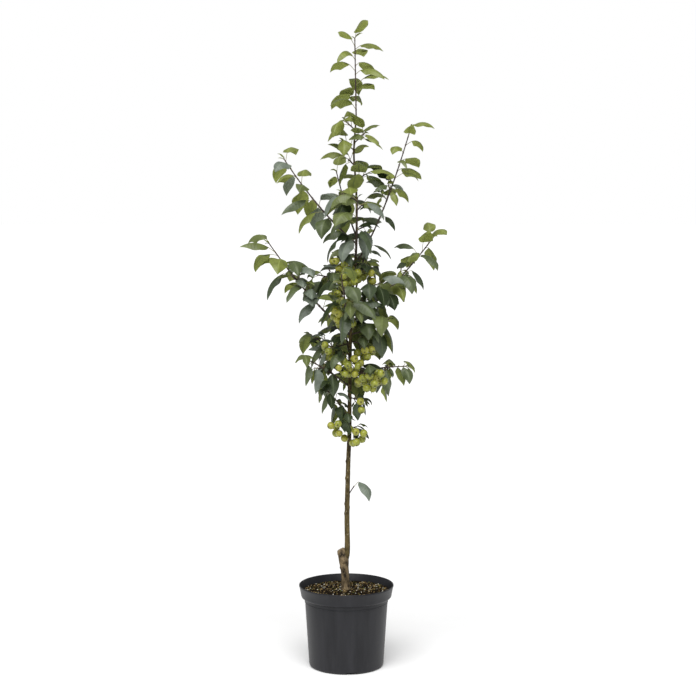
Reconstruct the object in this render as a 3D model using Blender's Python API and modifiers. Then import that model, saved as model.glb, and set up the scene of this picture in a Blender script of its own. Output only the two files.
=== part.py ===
"""Potted crabapple: a young feathered maiden tree with green fruit, in a plastic nursery pot.

Units are metres and +Z is up. The origin is the centre of the pot's flat underside. +X is to
the viewer's right and -Y is towards the viewer. A bearing is measured in degrees from +X
towards +Y, so 270 points at the viewer.
"""

import math
import random
from collections import namedtuple

import bmesh
import bpy
from mathutils import Vector
from mathutils.bvhtree import BVHTree

# Pot
POT_HEIGHT = 0.243
RIM_RADIUS = 0.140
SKIRT_RADIUS = 0.1340
SKIRT_DEPTH = 0.031
SKIRT_TUCK = 0.0085
BODY_TOP_RADIUS = 0.1232
FOOT_RADIUS = 0.1106
FOOT_BEVEL = 0.0085
WALL = 0.0026
FLOOR = 0.0032
RIM_ROUND = 0.0016
POT_STEPS = 32
DRAIN_WIDTH = 0.034
DRAIN_HEIGHT = 0.0058
DRAIN_DEPTH = 0.013
DRAIN_COUNT = 4
FIRST_DRAIN_BEARING = 279.5

# Soil
SOIL_EDGE_HEIGHT = 0.2215
SOIL_CROWN_HEIGHT = 0.2290
SOIL_FLAT_RADIUS = 0.024
SOIL_RINGS = 3

# Fits and small parts
GAP = 0.0003
GUARD = 0.0005
STEM_TIP_RADIUS = 0.0015
PETIOLE_RADIUS = 0.0010
PEDICEL_RADIUS = 0.0009
LEAF_THICKNESS = 0.0014
LEAF_WIDTH = 0.60
LEAF_RINGS = (0.30, 0.68)
FRUIT_RADIUS = 0.0116
FRUIT_SEGMENTS = 5
FRUIT_RINGS = 4
GOLDEN_ANGLE = math.radians(137.5)
WELD = 0.000002
UNIT_RADIUS = 0.001
TRIANGLE_SWELL = 1.25
TRUNK_BEVEL_RESOLUTION = 2
BOUGH_BEVEL_RESOLUTION = 1
BOUGH_START = 0.25
BOUGH_STEPS = 3
LIMB_SIDES = 8
COLLAR_SWELL = 0.25
COLLAR_LENGTH = 0.008
STEM_STEP = 0.036
STEM_LEAST_STEPS = 3
STALK_SINK = 0.0045
LEAF_TRIES = 12
FRUIT_TRIES = 90

# Trunk, as stations up its middle line: the scion rises beside the cut stub of its rootstock
Station = namedtuple("Station", "height right away diameter")
ROOTSTOCK = (
    Station(SOIL_CROWN_HEIGHT + GAP, -0.0015, 0.000, 0.0300),
    Station(0.2370, -0.0015, 0.000, 0.0250),
    Station(0.2620, -0.0025, 0.000, 0.0228),
    Station(0.2950, -0.0060, 0.000, 0.0250),
    Station(0.3180, -0.0085, 0.001, 0.0300),
    Station(0.3380, -0.0130, 0.001, 0.0262),
    Station(0.3530, -0.0175, 0.001, 0.0180),
)
SCION = (
    Station(0.3060, -0.0050, 0.000, 0.0170),
    Station(0.3320, 0.0005, 0.000, 0.0185),
    Station(0.3620, 0.0030, 0.000, 0.0162),
    Station(0.4400, 0.0020, 0.002, 0.0150),
    Station(0.5700, 0.0045, 0.003, 0.0136),
    Station(0.7000, 0.0090, 0.000, 0.0122),
    Station(0.8500, 0.0100, -0.003, 0.0108),
    Station(1.0000, 0.0130, -0.001, 0.0094),
    Station(1.1200, 0.0185, 0.002, 0.0082),
    Station(1.2400, 0.0290, 0.003, 0.0070),
    Station(1.4000, 0.0290, 0.000, 0.0060),
    Station(1.5100, 0.0220, -0.002, 0.0052),
    Station(1.6150, 0.0285, 0.000, 0.0045),
)
STATION_STEPS = 2

# Shoots. Each leaves the trunk at a height, on a bearing, and ends after a reach outwards and a
# rise. Its middle is bowed down. A bare share of it is a bough, and the rest carries leaves.
Shoot = namedtuple(
    "Shoot",
    "name height bearing reach rise bow bare thickness leaves leaf_length droop fruits seeds",
)
SHOOTS = (
    Shoot("left_low", 0.983, 192, 0.238, 0.266, 0.018, 0.32, 0.0072, 16, 0.088, 0.40, 0,
          (124, 55, 56, 27, 105, 125, 79, 82)),
    Shoot("left_high", 1.250, 167, 0.216, 0.244, 0.018, 0.28, 0.0058, 16, 0.086, 0.40, 0,
          (86, 19, 288, 316, 284, 194, 154, 115)),
    Shoot("right_high", 1.188, 339, 0.170, 0.392, 0.040, 0.44, 0.0058, 15, 0.074, 0.35, 0,
          (88, 127, 67, 78, 137, 76, 60, 120)),
    Shoot("right_mid", 1.022, 15, 0.252, 0.246, 0.019, 0.30, 0.0072, 17, 0.086, 0.50, 0,
          (319, 299, 49, 318, 97, 11, 219, 87)),
    Shoot("right_heart", 0.985, 352, 0.110, 0.045, 0.004, 0.25, 0.0052, 7, 0.084, 0.70, 0, (236, 146)),
    Shoot("left_heart", 1.140, 188, 0.118, 0.022, 0.000, 0.30, 0.0050, 6, 0.078, 0.55, 0, (190, 228)),
    Shoot("left_inner", 0.925, 157, 0.128, 0.055, 0.004, 0.30, 0.0054, 7, 0.076, 0.60, 0, (185, 20)),
    Shoot("left_skirt", 0.831, 200, 0.145, 0.090, -0.008, 0.30, 0.0056, 8, 0.070, 0.80, 0, (43, 62)),
    Shoot("right_skirt", 0.866, 10, 0.165, 0.023, -0.006, 0.40, 0.0052, 6, 0.074, 0.80, 0, (43, 271)),
    Shoot("front_low", 0.995, 262, 0.190, 0.170, 0.012, 0.34, 0.0062, 9, 0.084, 0.60, 0, (184, 215)),
    Shoot("front_high", 1.210, 272, 0.140, 0.170, 0.012, 0.32, 0.0056, 8, 0.080, 0.50, 0, (12, 55)),
    Shoot("back_low", 0.915, 97, 0.225, 0.180, 0.014, 0.34, 0.0068, 10, 0.084, 0.60, 0, (134, 66)),
    Shoot("back_mid", 1.085, 74, 0.190, 0.190, 0.014, 0.34, 0.0062, 9, 0.082, 0.55, 0, (208, 63)),
    Shoot("back_high", 1.270, 115, 0.140, 0.190, 0.012, 0.34, 0.0056, 8, 0.080, 0.45, 0, (256, 141)),
    Shoot("right_inner", 1.112, 333, 0.088, 0.025, 0.004, 0, 0.0046, 6, 0.078, 0.60, 0, (13,)),
    Shoot("left_base", 0.733, 209, 0.081, 0.099, -0.006, 0, 0.0046, 7, 0.068, 0.95, 0, (165, 6)),
    Shoot("cluster_front", 0.922, 264, 0.054, -0.012, 0.0, 0, 0.0042, 4, 0.078, 0.80, 13, (254,)),
    Shoot("cluster_right", 0.884, 319, 0.086, -0.014, 0.0, 0, 0.0046, 4, 0.076, 0.80, 14, (156,)),
    Shoot("low_left", 0.735, 229, 0.046, 0.000, 0.0, 0, 0.0040, 4, 0.064, 0.70, 6, (137,)),
    Shoot("low_right", 0.722, 292, 0.034, -0.014, 0.0, 0, 0.0040, 3, 0.052, 0.70, 6, (203,)),
    Shoot("right_small", 0.800, 318, 0.036, -0.004, 0.0, 0, 0.0038, 2, 0.052, 0.70, 3, (168,)),
    Shoot("mid_right", 0.965, 333, 0.050, -0.006, 0.0, 0, 0.0042, 5, 0.084, 0.80, 6, (18,)),
    Shoot("mid_left", 0.960, 203, 0.052, -0.012, 0.0, 0, 0.0042, 5, 0.082, 0.80, 7, (412,)),
    Shoot("heart_front", 1.050, 244, 0.047, 0.002, 0.0, 0, 0.0040, 4, 0.084, 0.80, 7, (69,)),
    Shoot("heart_left", 1.106, 222, 0.042, -0.004, 0.0, 0, 0.0040, 3, 0.078, 0.80, 6, (295,)),
    Shoot("upper_front", 1.155, 248, 0.045, 0.002, 0.0, 0, 0.0040, 4, 0.082, 0.75, 6, (258,)),
    Shoot("upper_left", 1.200, 216, 0.046, 0.002, 0.0, 0, 0.0040, 5, 0.080, 0.70, 6, (359,)),
    Shoot("upper_right", 1.170, 322, 0.036, 0.004, 0.0, 0, 0.0040, 4, 0.076, 0.70, 5, (234,)),
    Shoot("heart_back", 1.000, 85, 0.052, 0.006, 0.0, 0, 0.0042, 6, 0.082, 0.75, 3, (211,)),
    Shoot("heart_right", 1.075, 20, 0.048, 0.010, 0.0, 0, 0.0040, 5, 0.082, 0.70, 0, (261,)),
    Shoot("low_back", 0.850, 80, 0.060, 0.010, 0.0, 0, 0.0042, 5, 0.078, 0.80, 2, (189,)),
    Shoot("upper_back", 1.165, 112, 0.046, 0.012, 0.0, 0, 0.0040, 5, 0.080, 0.65, 2, (188,)),
    Shoot("neck_left", 1.262, 222, 0.042, 0.012, 0.0, 0, 0.0038, 5, 0.084, 0.60, 0, (250,)),
    Shoot("neck_right", 1.290, 330, 0.030, 0.010, 0.0, 0, 0.0036, 3, 0.080, 0.90, 0, (184,)),
    Shoot("neck_back", 1.345, 65, 0.036, 0.016, 0.0, 0, 0.0036, 4, 0.078, 0.55, 0, (284,)),
    Shoot("shoulder_left", 1.375, 205, 0.040, 0.016, 0.0, 0, 0.0036, 5, 0.086, 0.50, 0, (205,)),
    Shoot("shoulder_front", 1.430, 320, 0.032, 0.018, 0.0, 0, 0.0034, 5, 0.084, 0.50, 0, (14,)),
    Shoot("shoulder_back", 1.475, 118, 0.034, 0.018, 0.0, 0, 0.0034, 5, 0.084, 0.45, 0, (9,)),
    Shoot("collar_left", 1.520, 200, 0.028, 0.020, 0.0, 0, 0.0032, 4, 0.088, 0.45, 0, (259,)),
    Shoot("collar_right", 1.540, 338, 0.030, 0.026, 0.0, 0, 0.0032, 5, 0.084, 0.30, 0, (224,)),
    Shoot("leader", 1.615, 180, 0.004, 0.222, 0.0, 0, 0.0040, 15, 0.088, 0.35, 0,
          (13, 76, 44, 143, 20, 22, 12, 111)),
    Shoot("crown_left", 1.578, 190, 0.026, 0.022, 0.0, 0, 0.0032, 4, 0.080, 0.45, 0, (255,)),
    Shoot("foot_shoot", 0.505, 335, 0.020, 0.030, 0.0, 0, 0.0034, 1, 0.080, 1.30, 0, (315,)),
)

# How far a mass reaches from its own stem
SPACE_RADIUS = 0.120

Leaf = namedtuple("Leaf", "root bearing lift petiole rise curl length width roll fold")
Fruit = namedtuple("Fruit", "root centre radius")


def station_at(stations, height):
    """Smooth station at a height, on cubics whose slopes come from the neighbouring stations."""
    last = len(stations) - 1
    low = 0
    while low < last - 1 and stations[low + 1].height <= height:
        low += 1
    ends = stations[low], stations[low + 1]
    span = ends[1].height - ends[0].height
    t = min(max((height - ends[0].height) / span, 0.0), 1.0)
    values = []
    for field in ("right", "away", "diameter"):
        slopes = []
        for i in (low, low + 1):
            before, after = stations[max(i - 1, 0)], stations[min(i + 1, last)]
            slopes.append(
                (getattr(after, field) - getattr(before, field)) / (after.height - before.height)
            )
        start, end = (getattr(station, field) for station in ends)
        values.append(
            start * (1 + 2 * t) * (1 - t) ** 2
            + end * t * t * (3 - 2 * t)
            + span * (slopes[0] * t * (1 - t) ** 2 - slopes[1] * t * t * (1 - t))
        )
    return Station(height, *values)


def limb_line(stations):
    """Middle line of a trunk piece as points, and its radii."""
    points, radii = [], []
    for low, high in zip(stations, stations[1:]):
        for step in range(STATION_STEPS + (high is stations[-1])):
            height = low.height + (high.height - low.height) * step / STATION_STEPS
            station = station_at(stations, height)
            points.append(Vector((station.right, station.away, station.height)))
            radii.append(station.diameter / 2)
    return points, radii


def shoot_point(shoot, t):
    """Point of a shoot's middle line at a share of its way from the trunk to its tip."""
    foot = station_at(SCION, shoot.height)
    start = Vector((foot.right, foot.away, foot.height))
    bearing = math.radians(shoot.bearing)
    tip = start + Vector(
        (shoot.reach * math.cos(bearing), shoot.reach * math.sin(bearing), shoot.rise)
    )
    middle = (start + tip) / 2 - Vector((0, 0, 2 * shoot.bow))
    return start * (1 - t) ** 2 + middle * (2 * t * (1 - t)) + tip * (t * t)


def shoot_radius(shoot, t):
    """Radius of a shoot, which swells into a collar at the trunk."""
    plain = shoot.thickness / 2 * (1 - t) + STEM_TIP_RADIUS * t
    way_out = t * math.hypot(shoot.reach, shoot.rise)
    return plain * (1 + COLLAR_SWELL * math.exp(-way_out / COLLAR_LENGTH))


def shoot_line(shoot, first, last, steps):
    """Points and radii of a stretch of a shoot."""
    shares = [first + (last - first) * i / steps for i in range(steps + 1)]
    return [shoot_point(shoot, t) for t in shares], [shoot_radius(shoot, t) for t in shares]


def bough_line(shoot):
    """Points and radii of a shoot's bare stretch, from a foot sunk in the trunk."""
    way = math.hypot(shoot.reach, shoot.rise)
    foot = BOUGH_START * station_at(SCION, shoot.height).diameter / way
    return shoot_line(shoot, foot, shoot.bare, BOUGH_STEPS)


def stem_line(shoot):
    """Points and radii of a mass's stem: on past its bough or the trunk's tip, or from the trunk."""
    way = math.hypot(shoot.reach, shoot.rise)
    ends_limb = shoot.bare or shoot.height >= SCION[-1].height
    first = shoot.bare + GAP / way if ends_limb else 0.0
    return shoot_line(shoot, first, 1.0, max(STEM_LEAST_STEPS, round(way * (1 - first) / STEM_STEP)))


def stem_skin(shoot, swell):
    """Skin round a mass's stem, out to the corners of its three-sided section."""
    points, radii = stem_line(shoot)
    return tube_skin(points, [radius * TRIANGLE_SWELL for radius in radii], swell)


def leaf_section(leaf, s):
    """Point of a leaf's midrib at a share of its blade, with its side and upper directions."""
    level = Vector((math.cos(leaf.bearing), math.sin(leaf.bearing), 0))
    across = Vector((-level.y, level.x, 0))
    point = leaf.root + (level * math.cos(leaf.lift) + Vector((0, 0, math.sin(leaf.lift)))) * (
        leaf.petiole
    )
    slope = leaf.rise - leaf.curl * s
    bend = leaf.length / leaf.curl
    point = point + level * (bend * (math.sin(leaf.rise) - math.sin(slope)))
    point = point + Vector((0, 0, bend * (math.cos(slope) - math.cos(leaf.rise))))
    along = level * math.cos(slope) + Vector((0, 0, math.sin(slope)))
    upper = along.cross(across)
    roll = leaf.roll * min(1.0, s / LEAF_RINGS[0])
    side = across * math.cos(roll) + upper * math.sin(roll)
    return point, side, along.cross(side)


def leaf_half_width(leaf, s):
    """Half the width of the blade at a share of its length: round below, drawn out to a tip."""
    return leaf.width / 2 * 2.88 * s**0.6 * (1 - s)


def leaf_skin(leaf, swell=0.0, blade_only=False):
    """Corners and faces of a leaf: a three-sided petiole lofted into a folded, tapering blade."""
    stalk = PETIOLE_RADIUS + swell
    base, side, upper = leaf_section(leaf, 0.0)
    corners = []
    for centre in (leaf.root, base):
        corners += [
            centre + side * stalk + upper * (stalk / 2),
            centre - side * stalk + upper * (stalk / 2),
            centre - upper * stalk,
        ]
    for s in LEAF_RINGS:
        point, side, upper = leaf_section(leaf, s)
        half = leaf_half_width(leaf, s) + swell
        thick = LEAF_THICKNESS / 2 + swell
        margin = point - upper * (half * math.sin(leaf.fold))
        corners += [
            margin + side * (half * math.cos(leaf.fold)),
            point + upper * thick,
            margin - side * (half * math.cos(leaf.fold)),
            point - upper * thick,
        ]
    corners.append(leaf_section(leaf, 1.0 + swell / leaf.length)[0])
    faces = [(0, 1, 2), (0, 3, 4, 1), (1, 4, 5, 2), (2, 5, 3, 0)]
    if blade_only:
        faces = [(3, 4, 5)]
    faces += [(3, 7, 4), (3, 6, 7), (4, 7, 8), (3, 5, 9, 6), (4, 8, 9, 5)]
    tip = len(corners) - 1
    for i in range(4):
        j = (i + 1) % 4
        faces.append((6 + i, 10 + i, 10 + j, 6 + j))
        faces.append((10 + i, tip, 10 + j))
    return corners, faces


def tube_skin(points, radii, swell, sides=6):
    """Corners and faces of a round tube, for telling what a leaf or a fruit would touch."""
    corners, faces = [], []
    for i, (point, radius) in enumerate(zip(points, radii)):
        along = (points[min(i + 1, len(points) - 1)] - points[max(i - 1, 0)]).normalized()
        across = along.orthogonal().normalized()
        upper = along.cross(across)
        for k in range(sides):
            angle = 2 * math.pi * k / sides
            out = across * math.cos(angle) + upper * math.sin(angle)
            corners.append(point + out * (radius + swell))
        if i:
            for k in range(sides):
                j = (k + 1) % sides
                row = sides * (i - 1)
                faces.append((row + k, row + j, row + sides + j, row + sides + k))
    return corners, faces


def ball_skin(centre, radius):
    """Corners and faces of a fruit, for telling what it would touch."""
    corners = [centre + Vector((0, 0, radius)), centre - Vector((0, 0, radius))]
    faces = []
    for i in range(1, FRUIT_RINGS):
        polar = math.pi * i / FRUIT_RINGS
        for k in range(FRUIT_SEGMENTS):
            angle = math.pi / 2 + 2 * math.pi * k / FRUIT_SEGMENTS
            flat = radius * math.sin(polar)
            corners.append(
                centre
                + Vector((flat * math.cos(angle), flat * math.sin(angle), radius * math.cos(polar)))
            )
    for k in range(FRUIT_SEGMENTS):
        j = (k + 1) % FRUIT_SEGMENTS
        last = 2 + FRUIT_SEGMENTS * (FRUIT_RINGS - 2)
        faces.append((0, 2 + k, 2 + j))
        faces.append((1, last + j, last + k))
        for i in range(FRUIT_RINGS - 2):
            row = 2 + FRUIT_SEGMENTS * i
            faces.append((row + k, row + FRUIT_SEGMENTS + k, row + FRUIT_SEGMENTS + j, row + j))
    return corners, faces


def joined(skins):
    """One skin of several."""
    corners, faces = [], []
    for more_corners, more_faces in skins:
        faces += [tuple(len(corners) + k for k in face) for face in more_faces]
        corners += more_corners
    return corners, faces


def solid_tree(skin):
    """Search tree of a skin's faces."""
    corners, faces = skin
    return BVHTree.FromPolygons(corners, faces)


def touches(skin, trees):
    """Whether a skin crosses anything in the given search trees."""
    tree = solid_tree(skin)
    return any(tree.overlap(other) for other in trees)


def in_space(shoot, leaf):
    """Whether a leaf's blade stays within the mass's own space round its stem."""
    stem = [shoot_point(shoot, shoot.bare + (1 - shoot.bare) * i / 6) for i in range(7)]
    for s in (0.5, 1.0):
        point = leaf_section(leaf, s)[0]
        if min((point - other).length for other in stem) > SPACE_RADIUS:
            return False
    return True


def draw_leaf(shoot, draw, turn, t):
    """Draw a leaf at a share of its shoot, turned about the shoot by a spiral's angle."""
    root = shoot_point(shoot, t)
    along = (shoot_point(shoot, t) - shoot_point(shoot, t - 0.02)).normalized()
    across = along.cross(Vector((0, 0, 1)))
    across = across.normalized() if across.length > 0.05 else Vector((1, 0, 0))
    upper = across.cross(along)
    turn += draw.uniform(-0.5, 0.5)
    spread = math.radians(draw.uniform(36, 76)) * (0.45 if t > 0.985 else 1)
    out = along * math.cos(spread)
    out += (across * math.cos(turn) + upper * math.sin(turn)) * math.sin(spread)
    bearing = math.atan2(out.y, out.x) + draw.uniform(-0.35, 0.35)
    lift = min(max(math.asin(max(min(out.z, 1), -1)) + draw.uniform(-0.1, 0.3), -0.45), 1.25)
    rise = lift + 0.2 - shoot.droop * draw.uniform(0.3, 1.5)
    curl = min(draw.uniform(1.1, 2.2), max(rise + 1.75, 0.25))
    length = shoot.leaf_length * draw.uniform(0.78, 1.12)
    return Leaf(
        root,
        bearing,
        lift,
        shoot.leaf_length * draw.uniform(0.20, 0.36),
        rise,
        curl,
        length,
        length * LEAF_WIDTH * draw.uniform(0.86, 1.1),
        draw.choice((-1, 1)) * draw.uniform(0.0, 0.55),
        draw.uniform(0.3, 0.8),
    )


def leafy_from(shoot):
    """Share of a shoot at which its leaves begin: past its bough, or clear of the trunk."""
    return shoot.bare or min(0.25, 0.010 / math.hypot(shoot.reach, shoot.rise))


def stalk_skin(fruit, swell):
    """Skin round a fruit's stalk."""
    radius = PEDICEL_RADIUS * TRIANGLE_SWELL
    return tube_skin([fruit.root, fruit.centre], [radius, radius], swell, sides=4)


def grow_fruits(shoot, draw, taken, stem):
    """Hang a mass's fruits on their stalks, in bunches along the outer part of its stem."""
    bunches = max(1, round(shoot.fruits / 5))
    fruits = []
    for i in range(shoot.fruits):
        bunch = i * bunches // shoot.fruits
        root = shoot_point(shoot, 1 - 0.55 * (bunches - 1 - bunch) / bunches - 0.02)
        lean = math.radians(shoot.bearing)
        rest = Vector((0.45 * math.cos(lean), 0.45 * math.sin(lean), -0.75))
        for _ in range(FRUIT_TRIES):
            way = Vector([draw.gauss(0, 1) for _ in range(3)]).normalized() * 0.85 + rest
            way.normalize()
            radius = FRUIT_RADIUS * draw.uniform(0.9, 1.06)
            fruit = Fruit(root, root + way * (draw.uniform(0.016, 0.030) + radius), radius)
            apart = [(other.centre - fruit.centre).length - other.radius for other in fruits]
            if min(apart, default=1) < radius + GAP:
                continue
            if touches(ball_skin(fruit.centre, radius + GUARD), taken + [stem]):
                continue
            if touches(stalk_skin(fruit, GUARD), taken):
                continue
            fruits.append(fruit)
            break
    return fruits


def grow(shoot, taken):
    """Fruits and leaves of one mass. What would touch a limb, another mass or a blade is skipped."""
    foot = leafy_from(shoot)
    stem = solid_tree(stem_skin(shoot, GUARD))
    fruits = grow_fruits(shoot, random.Random(shoot.seeds[0]), taken, stem)
    own = [stem] + [solid_tree(ball_skin(fruit.centre, fruit.radius)) for fruit in fruits]
    leaves = []
    for i in range(shoot.leaves):
        flush = i * len(shoot.seeds) // shoot.leaves
        first = flush == 0 or flush > (i - 1) * len(shoot.seeds) // shoot.leaves
        if i == 0 or first:
            draw = random.Random(100 * shoot.seeds[flush] + flush)
            phase = draw.uniform(0, 2 * math.pi)
        turn = phase + i * GOLDEN_ANGLE
        t = foot + (1 - foot) * min(1.0, (i + 1) / shoot.leaves)
        for _ in range(LEAF_TRIES):
            leaf = draw_leaf(shoot, draw, turn, t - 0.03 * draw.random() - 0.004)
            if not in_space(shoot, leaf) or touches(leaf_skin(leaf, GUARD), taken):
                continue
            if touches(leaf_skin(leaf, GUARD, blade_only=True), own):
                continue
            leaves.append(leaf)
            own.append(solid_tree(leaf_skin(leaf, blade_only=True)))
            break
    return fruits, leaves


def mass_tree(shoot, fruits, leaves):
    """Search tree of a grown mass, which the masses after it keep clear of."""
    skins = [stem_skin(shoot, 0.0)]
    for fruit in fruits:
        skins.append(ball_skin(fruit.centre, fruit.radius))
        skins.append(stalk_skin(fruit, 0.0))
    skins += [leaf_skin(leaf) for leaf in leaves]
    return solid_tree(joined(skins))


def limb_tree():
    """Search tree of the trunk and the boughs, which no mass may touch."""
    skins = [
        tube_skin(*limb_line(stations), GAP, LIMB_SIDES) for stations in (ROOTSTOCK, SCION)
    ]
    for shoot in SHOOTS:
        if shoot.bare:
            skins.append(tube_skin(*bough_line(shoot), GAP, LIMB_SIDES))
    return solid_tree(joined(skins))


def other_stems(shoot):
    """Search tree of the stems of all the other masses."""
    return solid_tree(joined(stem_skin(other, 0.0) for other in SHOOTS if other.name != shoot.name))


def make_material(name, colour, roughness):
    """Plain surface finish of one piece."""
    material = bpy.data.materials.new(name)
    material.use_nodes = True
    shader = material.node_tree.nodes["Principled BSDF"]
    shader.inputs["Base Color"].default_value = (*colour, 1)
    shader.inputs["Roughness"].default_value = roughness
    shader.inputs["Metallic"].default_value = 0.0
    material.diffuse_color = (*colour, 1)
    return material


def add_mesh(name, mesh, collection):
    """Object that shows a mesh, in a collection."""
    piece = bpy.data.objects.new(name, mesh)
    collection.objects.link(piece)
    return piece


def finish_piece(piece, material):
    """Give a piece its material and smooth its round faces."""
    piece.data.materials.clear()
    piece.data.materials.append(material)
    piece.data.shade_smooth()
    piece.data.set_sharp_from_angle(angle=math.radians(35))


def hide_helper(piece):
    """Keep a cutter or a guide out of the picture."""
    piece.hide_render = True
    piece.display_type = "WIRE"


def applied_mesh(piece):
    """Mesh of a piece as its modifiers or its bevel leave it, its caps welded and facing out."""
    bpy.context.view_layer.update()
    graph = bpy.context.evaluated_depsgraph_get()
    mesh = bpy.data.meshes.new_from_object(piece.evaluated_get(graph))
    shape = bmesh.new()
    shape.from_mesh(mesh)
    bmesh.ops.remove_doubles(shape, verts=shape.verts, dist=WELD)
    bmesh.ops.recalc_face_normals(shape, faces=shape.faces)
    shape.to_mesh(mesh)
    shape.free()
    return mesh


def tube(name, points, radii, collection, profile=None, resolution=TRUNK_BEVEL_RESOLUTION):
    """Closed tapering tube along points, welded into a mesh from a bevelled curve."""
    curve = bpy.data.curves.new(name, "CURVE")
    curve.dimensions = "3D"
    curve.use_fill_caps = True
    if profile:
        curve.bevel_mode = "OBJECT"
        curve.bevel_object = profile
    else:
        curve.bevel_depth = UNIT_RADIUS
        curve.bevel_resolution = resolution
    spline = curve.splines.new("POLY")
    spline.points.add(len(points) - 1)
    for knot, point, radius in zip(spline.points, points, radii):
        knot.co = (*point, 1)
        knot.radius = radius / UNIT_RADIUS
    guide = bpy.data.objects.new(name + "_line", curve)
    collection.objects.link(guide)
    mesh = applied_mesh(guide)
    bpy.data.objects.remove(guide)
    return add_mesh(name, mesh, collection)


def triangle_profile(collection):
    """Three-cornered section for twigs, stalks and the stems of the masses."""
    curve = bpy.data.curves.new("twig_section", "CURVE")
    spline = curve.splines.new("POLY")
    spline.points.add(2)
    for k, knot in enumerate(spline.points):
        angle = 2 * math.pi * k / 3
        reach = UNIT_RADIUS * TRIANGLE_SWELL
        knot.co = (reach * math.cos(angle), reach * math.sin(angle), 0, 1)
    spline.use_cyclic_u = True
    profile = bpy.data.objects.new("twig_section", curve)
    collection.objects.link(profile)
    hide_helper(profile)
    return profile


def boolean(piece, operation, other, solver="EXACT"):
    """Add a Boolean modifier with another object or a whole collection."""
    modifier = piece.modifiers.new(operation.lower(), "BOOLEAN")
    modifier.operation = operation
    modifier.solver = solver
    if isinstance(other, bpy.types.Collection):
        modifier.operand_type = "COLLECTION"
        modifier.collection = other
    else:
        modifier.object = other


def turned(name, outline, collection):
    """Solid turned about the Z axis from an outline of radii and heights."""
    mesh = bpy.data.meshes.new(name)
    edges = [(i, i + 1) for i in range(len(outline) - 1)]
    mesh.from_pydata([(radius, 0, height) for radius, height in outline], edges, [])
    piece = add_mesh(name, mesh, collection)
    screw = piece.modifiers.new("turn", "SCREW")
    screw.steps = POT_STEPS
    screw.render_steps = POT_STEPS
    screw.use_merge_vertices = True
    screw.merge_threshold = WELD
    screw.use_normal_calculate = True
    return piece


def inside_line():
    """Inside of the pot's wall, from its rim down to its floor, as radii and heights."""
    ledge = POT_HEIGHT - SKIRT_DEPTH
    return [
        (RIM_RADIUS - WALL, POT_HEIGHT - RIM_ROUND / 2),
        (SKIRT_RADIUS - WALL, ledge),
        (BODY_TOP_RADIUS - WALL, ledge - SKIRT_TUCK),
        (FOOT_RADIUS - WALL, FLOOR + FOOT_BEVEL),
        (FOOT_RADIUS - WALL - FOOT_BEVEL, FLOOR),
    ]


def quarter_turn(start, end, steps=2):
    """Rounded corner between a point on an upright wall and a point on a level face."""
    return [
        (
            end[0] + (start[0] - end[0]) * math.cos(math.pi / 2 * i / steps),
            start[1] + (end[1] - start[1]) * math.sin(math.pi / 2 * i / steps),
        )
        for i in range(steps + 1)
    ]


def build_pot(parts, cutters):
    """Nursery pot: a flared rim skirt over a tapering body, with drain notches round its foot."""
    ledge = POT_HEIGHT - SKIRT_DEPTH
    outline = [(0, FLOOR)] + inside_line()[::-1]
    outline += [
        (RIM_RADIUS - WALL / 2, POT_HEIGHT),
        (RIM_RADIUS - RIM_ROUND / 3, POT_HEIGHT - RIM_ROUND / 4),
        (RIM_RADIUS, POT_HEIGHT - RIM_ROUND),
    ]
    outline += quarter_turn((SKIRT_RADIUS, ledge), (BODY_TOP_RADIUS, ledge - SKIRT_TUCK))
    outline += quarter_turn((FOOT_RADIUS, FOOT_BEVEL), (FOOT_RADIUS - FOOT_BEVEL, 0))
    outline += [(0, 0)]
    pot = turned("pot", outline, parts)
    for k in range(DRAIN_COUNT):
        bearing = math.radians(FIRST_DRAIN_BEARING + 360 * k / DRAIN_COUNT)
        bpy.ops.mesh.primitive_cube_add(size=1)
        cutter = bpy.context.object
        cutter.name = f"drain_notch_{k + 1}"
        cutter.scale = (2 * DRAIN_DEPTH, DRAIN_WIDTH, 2 * DRAIN_HEIGHT)
        cutter.rotation_euler.z = bearing
        cutter.location = (FOOT_RADIUS * math.cos(bearing), FOOT_RADIUS * math.sin(bearing), 0)
        for owner in cutter.users_collection:
            owner.objects.unlink(cutter)
        cutters.objects.link(cutter)
        hide_helper(cutter)
        boolean(pot, "DIFFERENCE", cutter)
    finish_piece(pot, make_material("dark_plastic", (0.035, 0.037, 0.041), 0.55))


def build_soil(parts):
    """Compost that fills the pot and mounds gently up to a level patch round the trunk."""
    wall = inside_line()
    (rim_radius, rim_height), (ledge_radius, ledge_height) = wall[:2]
    share = (SOIL_EDGE_HEIGHT - ledge_height) / (rim_height - ledge_height)
    edge_radius = ledge_radius + (rim_radius - ledge_radius) * share - GAP
    outline = [(0, SOIL_CROWN_HEIGHT)]
    for i in range(SOIL_RINGS + 1):
        t = i / SOIL_RINGS
        fall = (1 - math.cos(math.pi * t)) / 2
        outline.append(
            (
                SOIL_FLAT_RADIUS + (edge_radius - SOIL_FLAT_RADIUS) * t,
                SOIL_CROWN_HEIGHT + (SOIL_EDGE_HEIGHT - SOIL_CROWN_HEIGHT) * fall,
            )
        )
    outline += [(radius - GAP, height) for radius, height in wall[1:-1]]
    outline += [(wall[-1][0] - GAP, FLOOR + GAP), (0, FLOOR + GAP)]
    soil = turned("soil", outline, parts)
    finish_piece(soil, make_material("compost", (0.045, 0.030, 0.020), 0.95))


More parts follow.
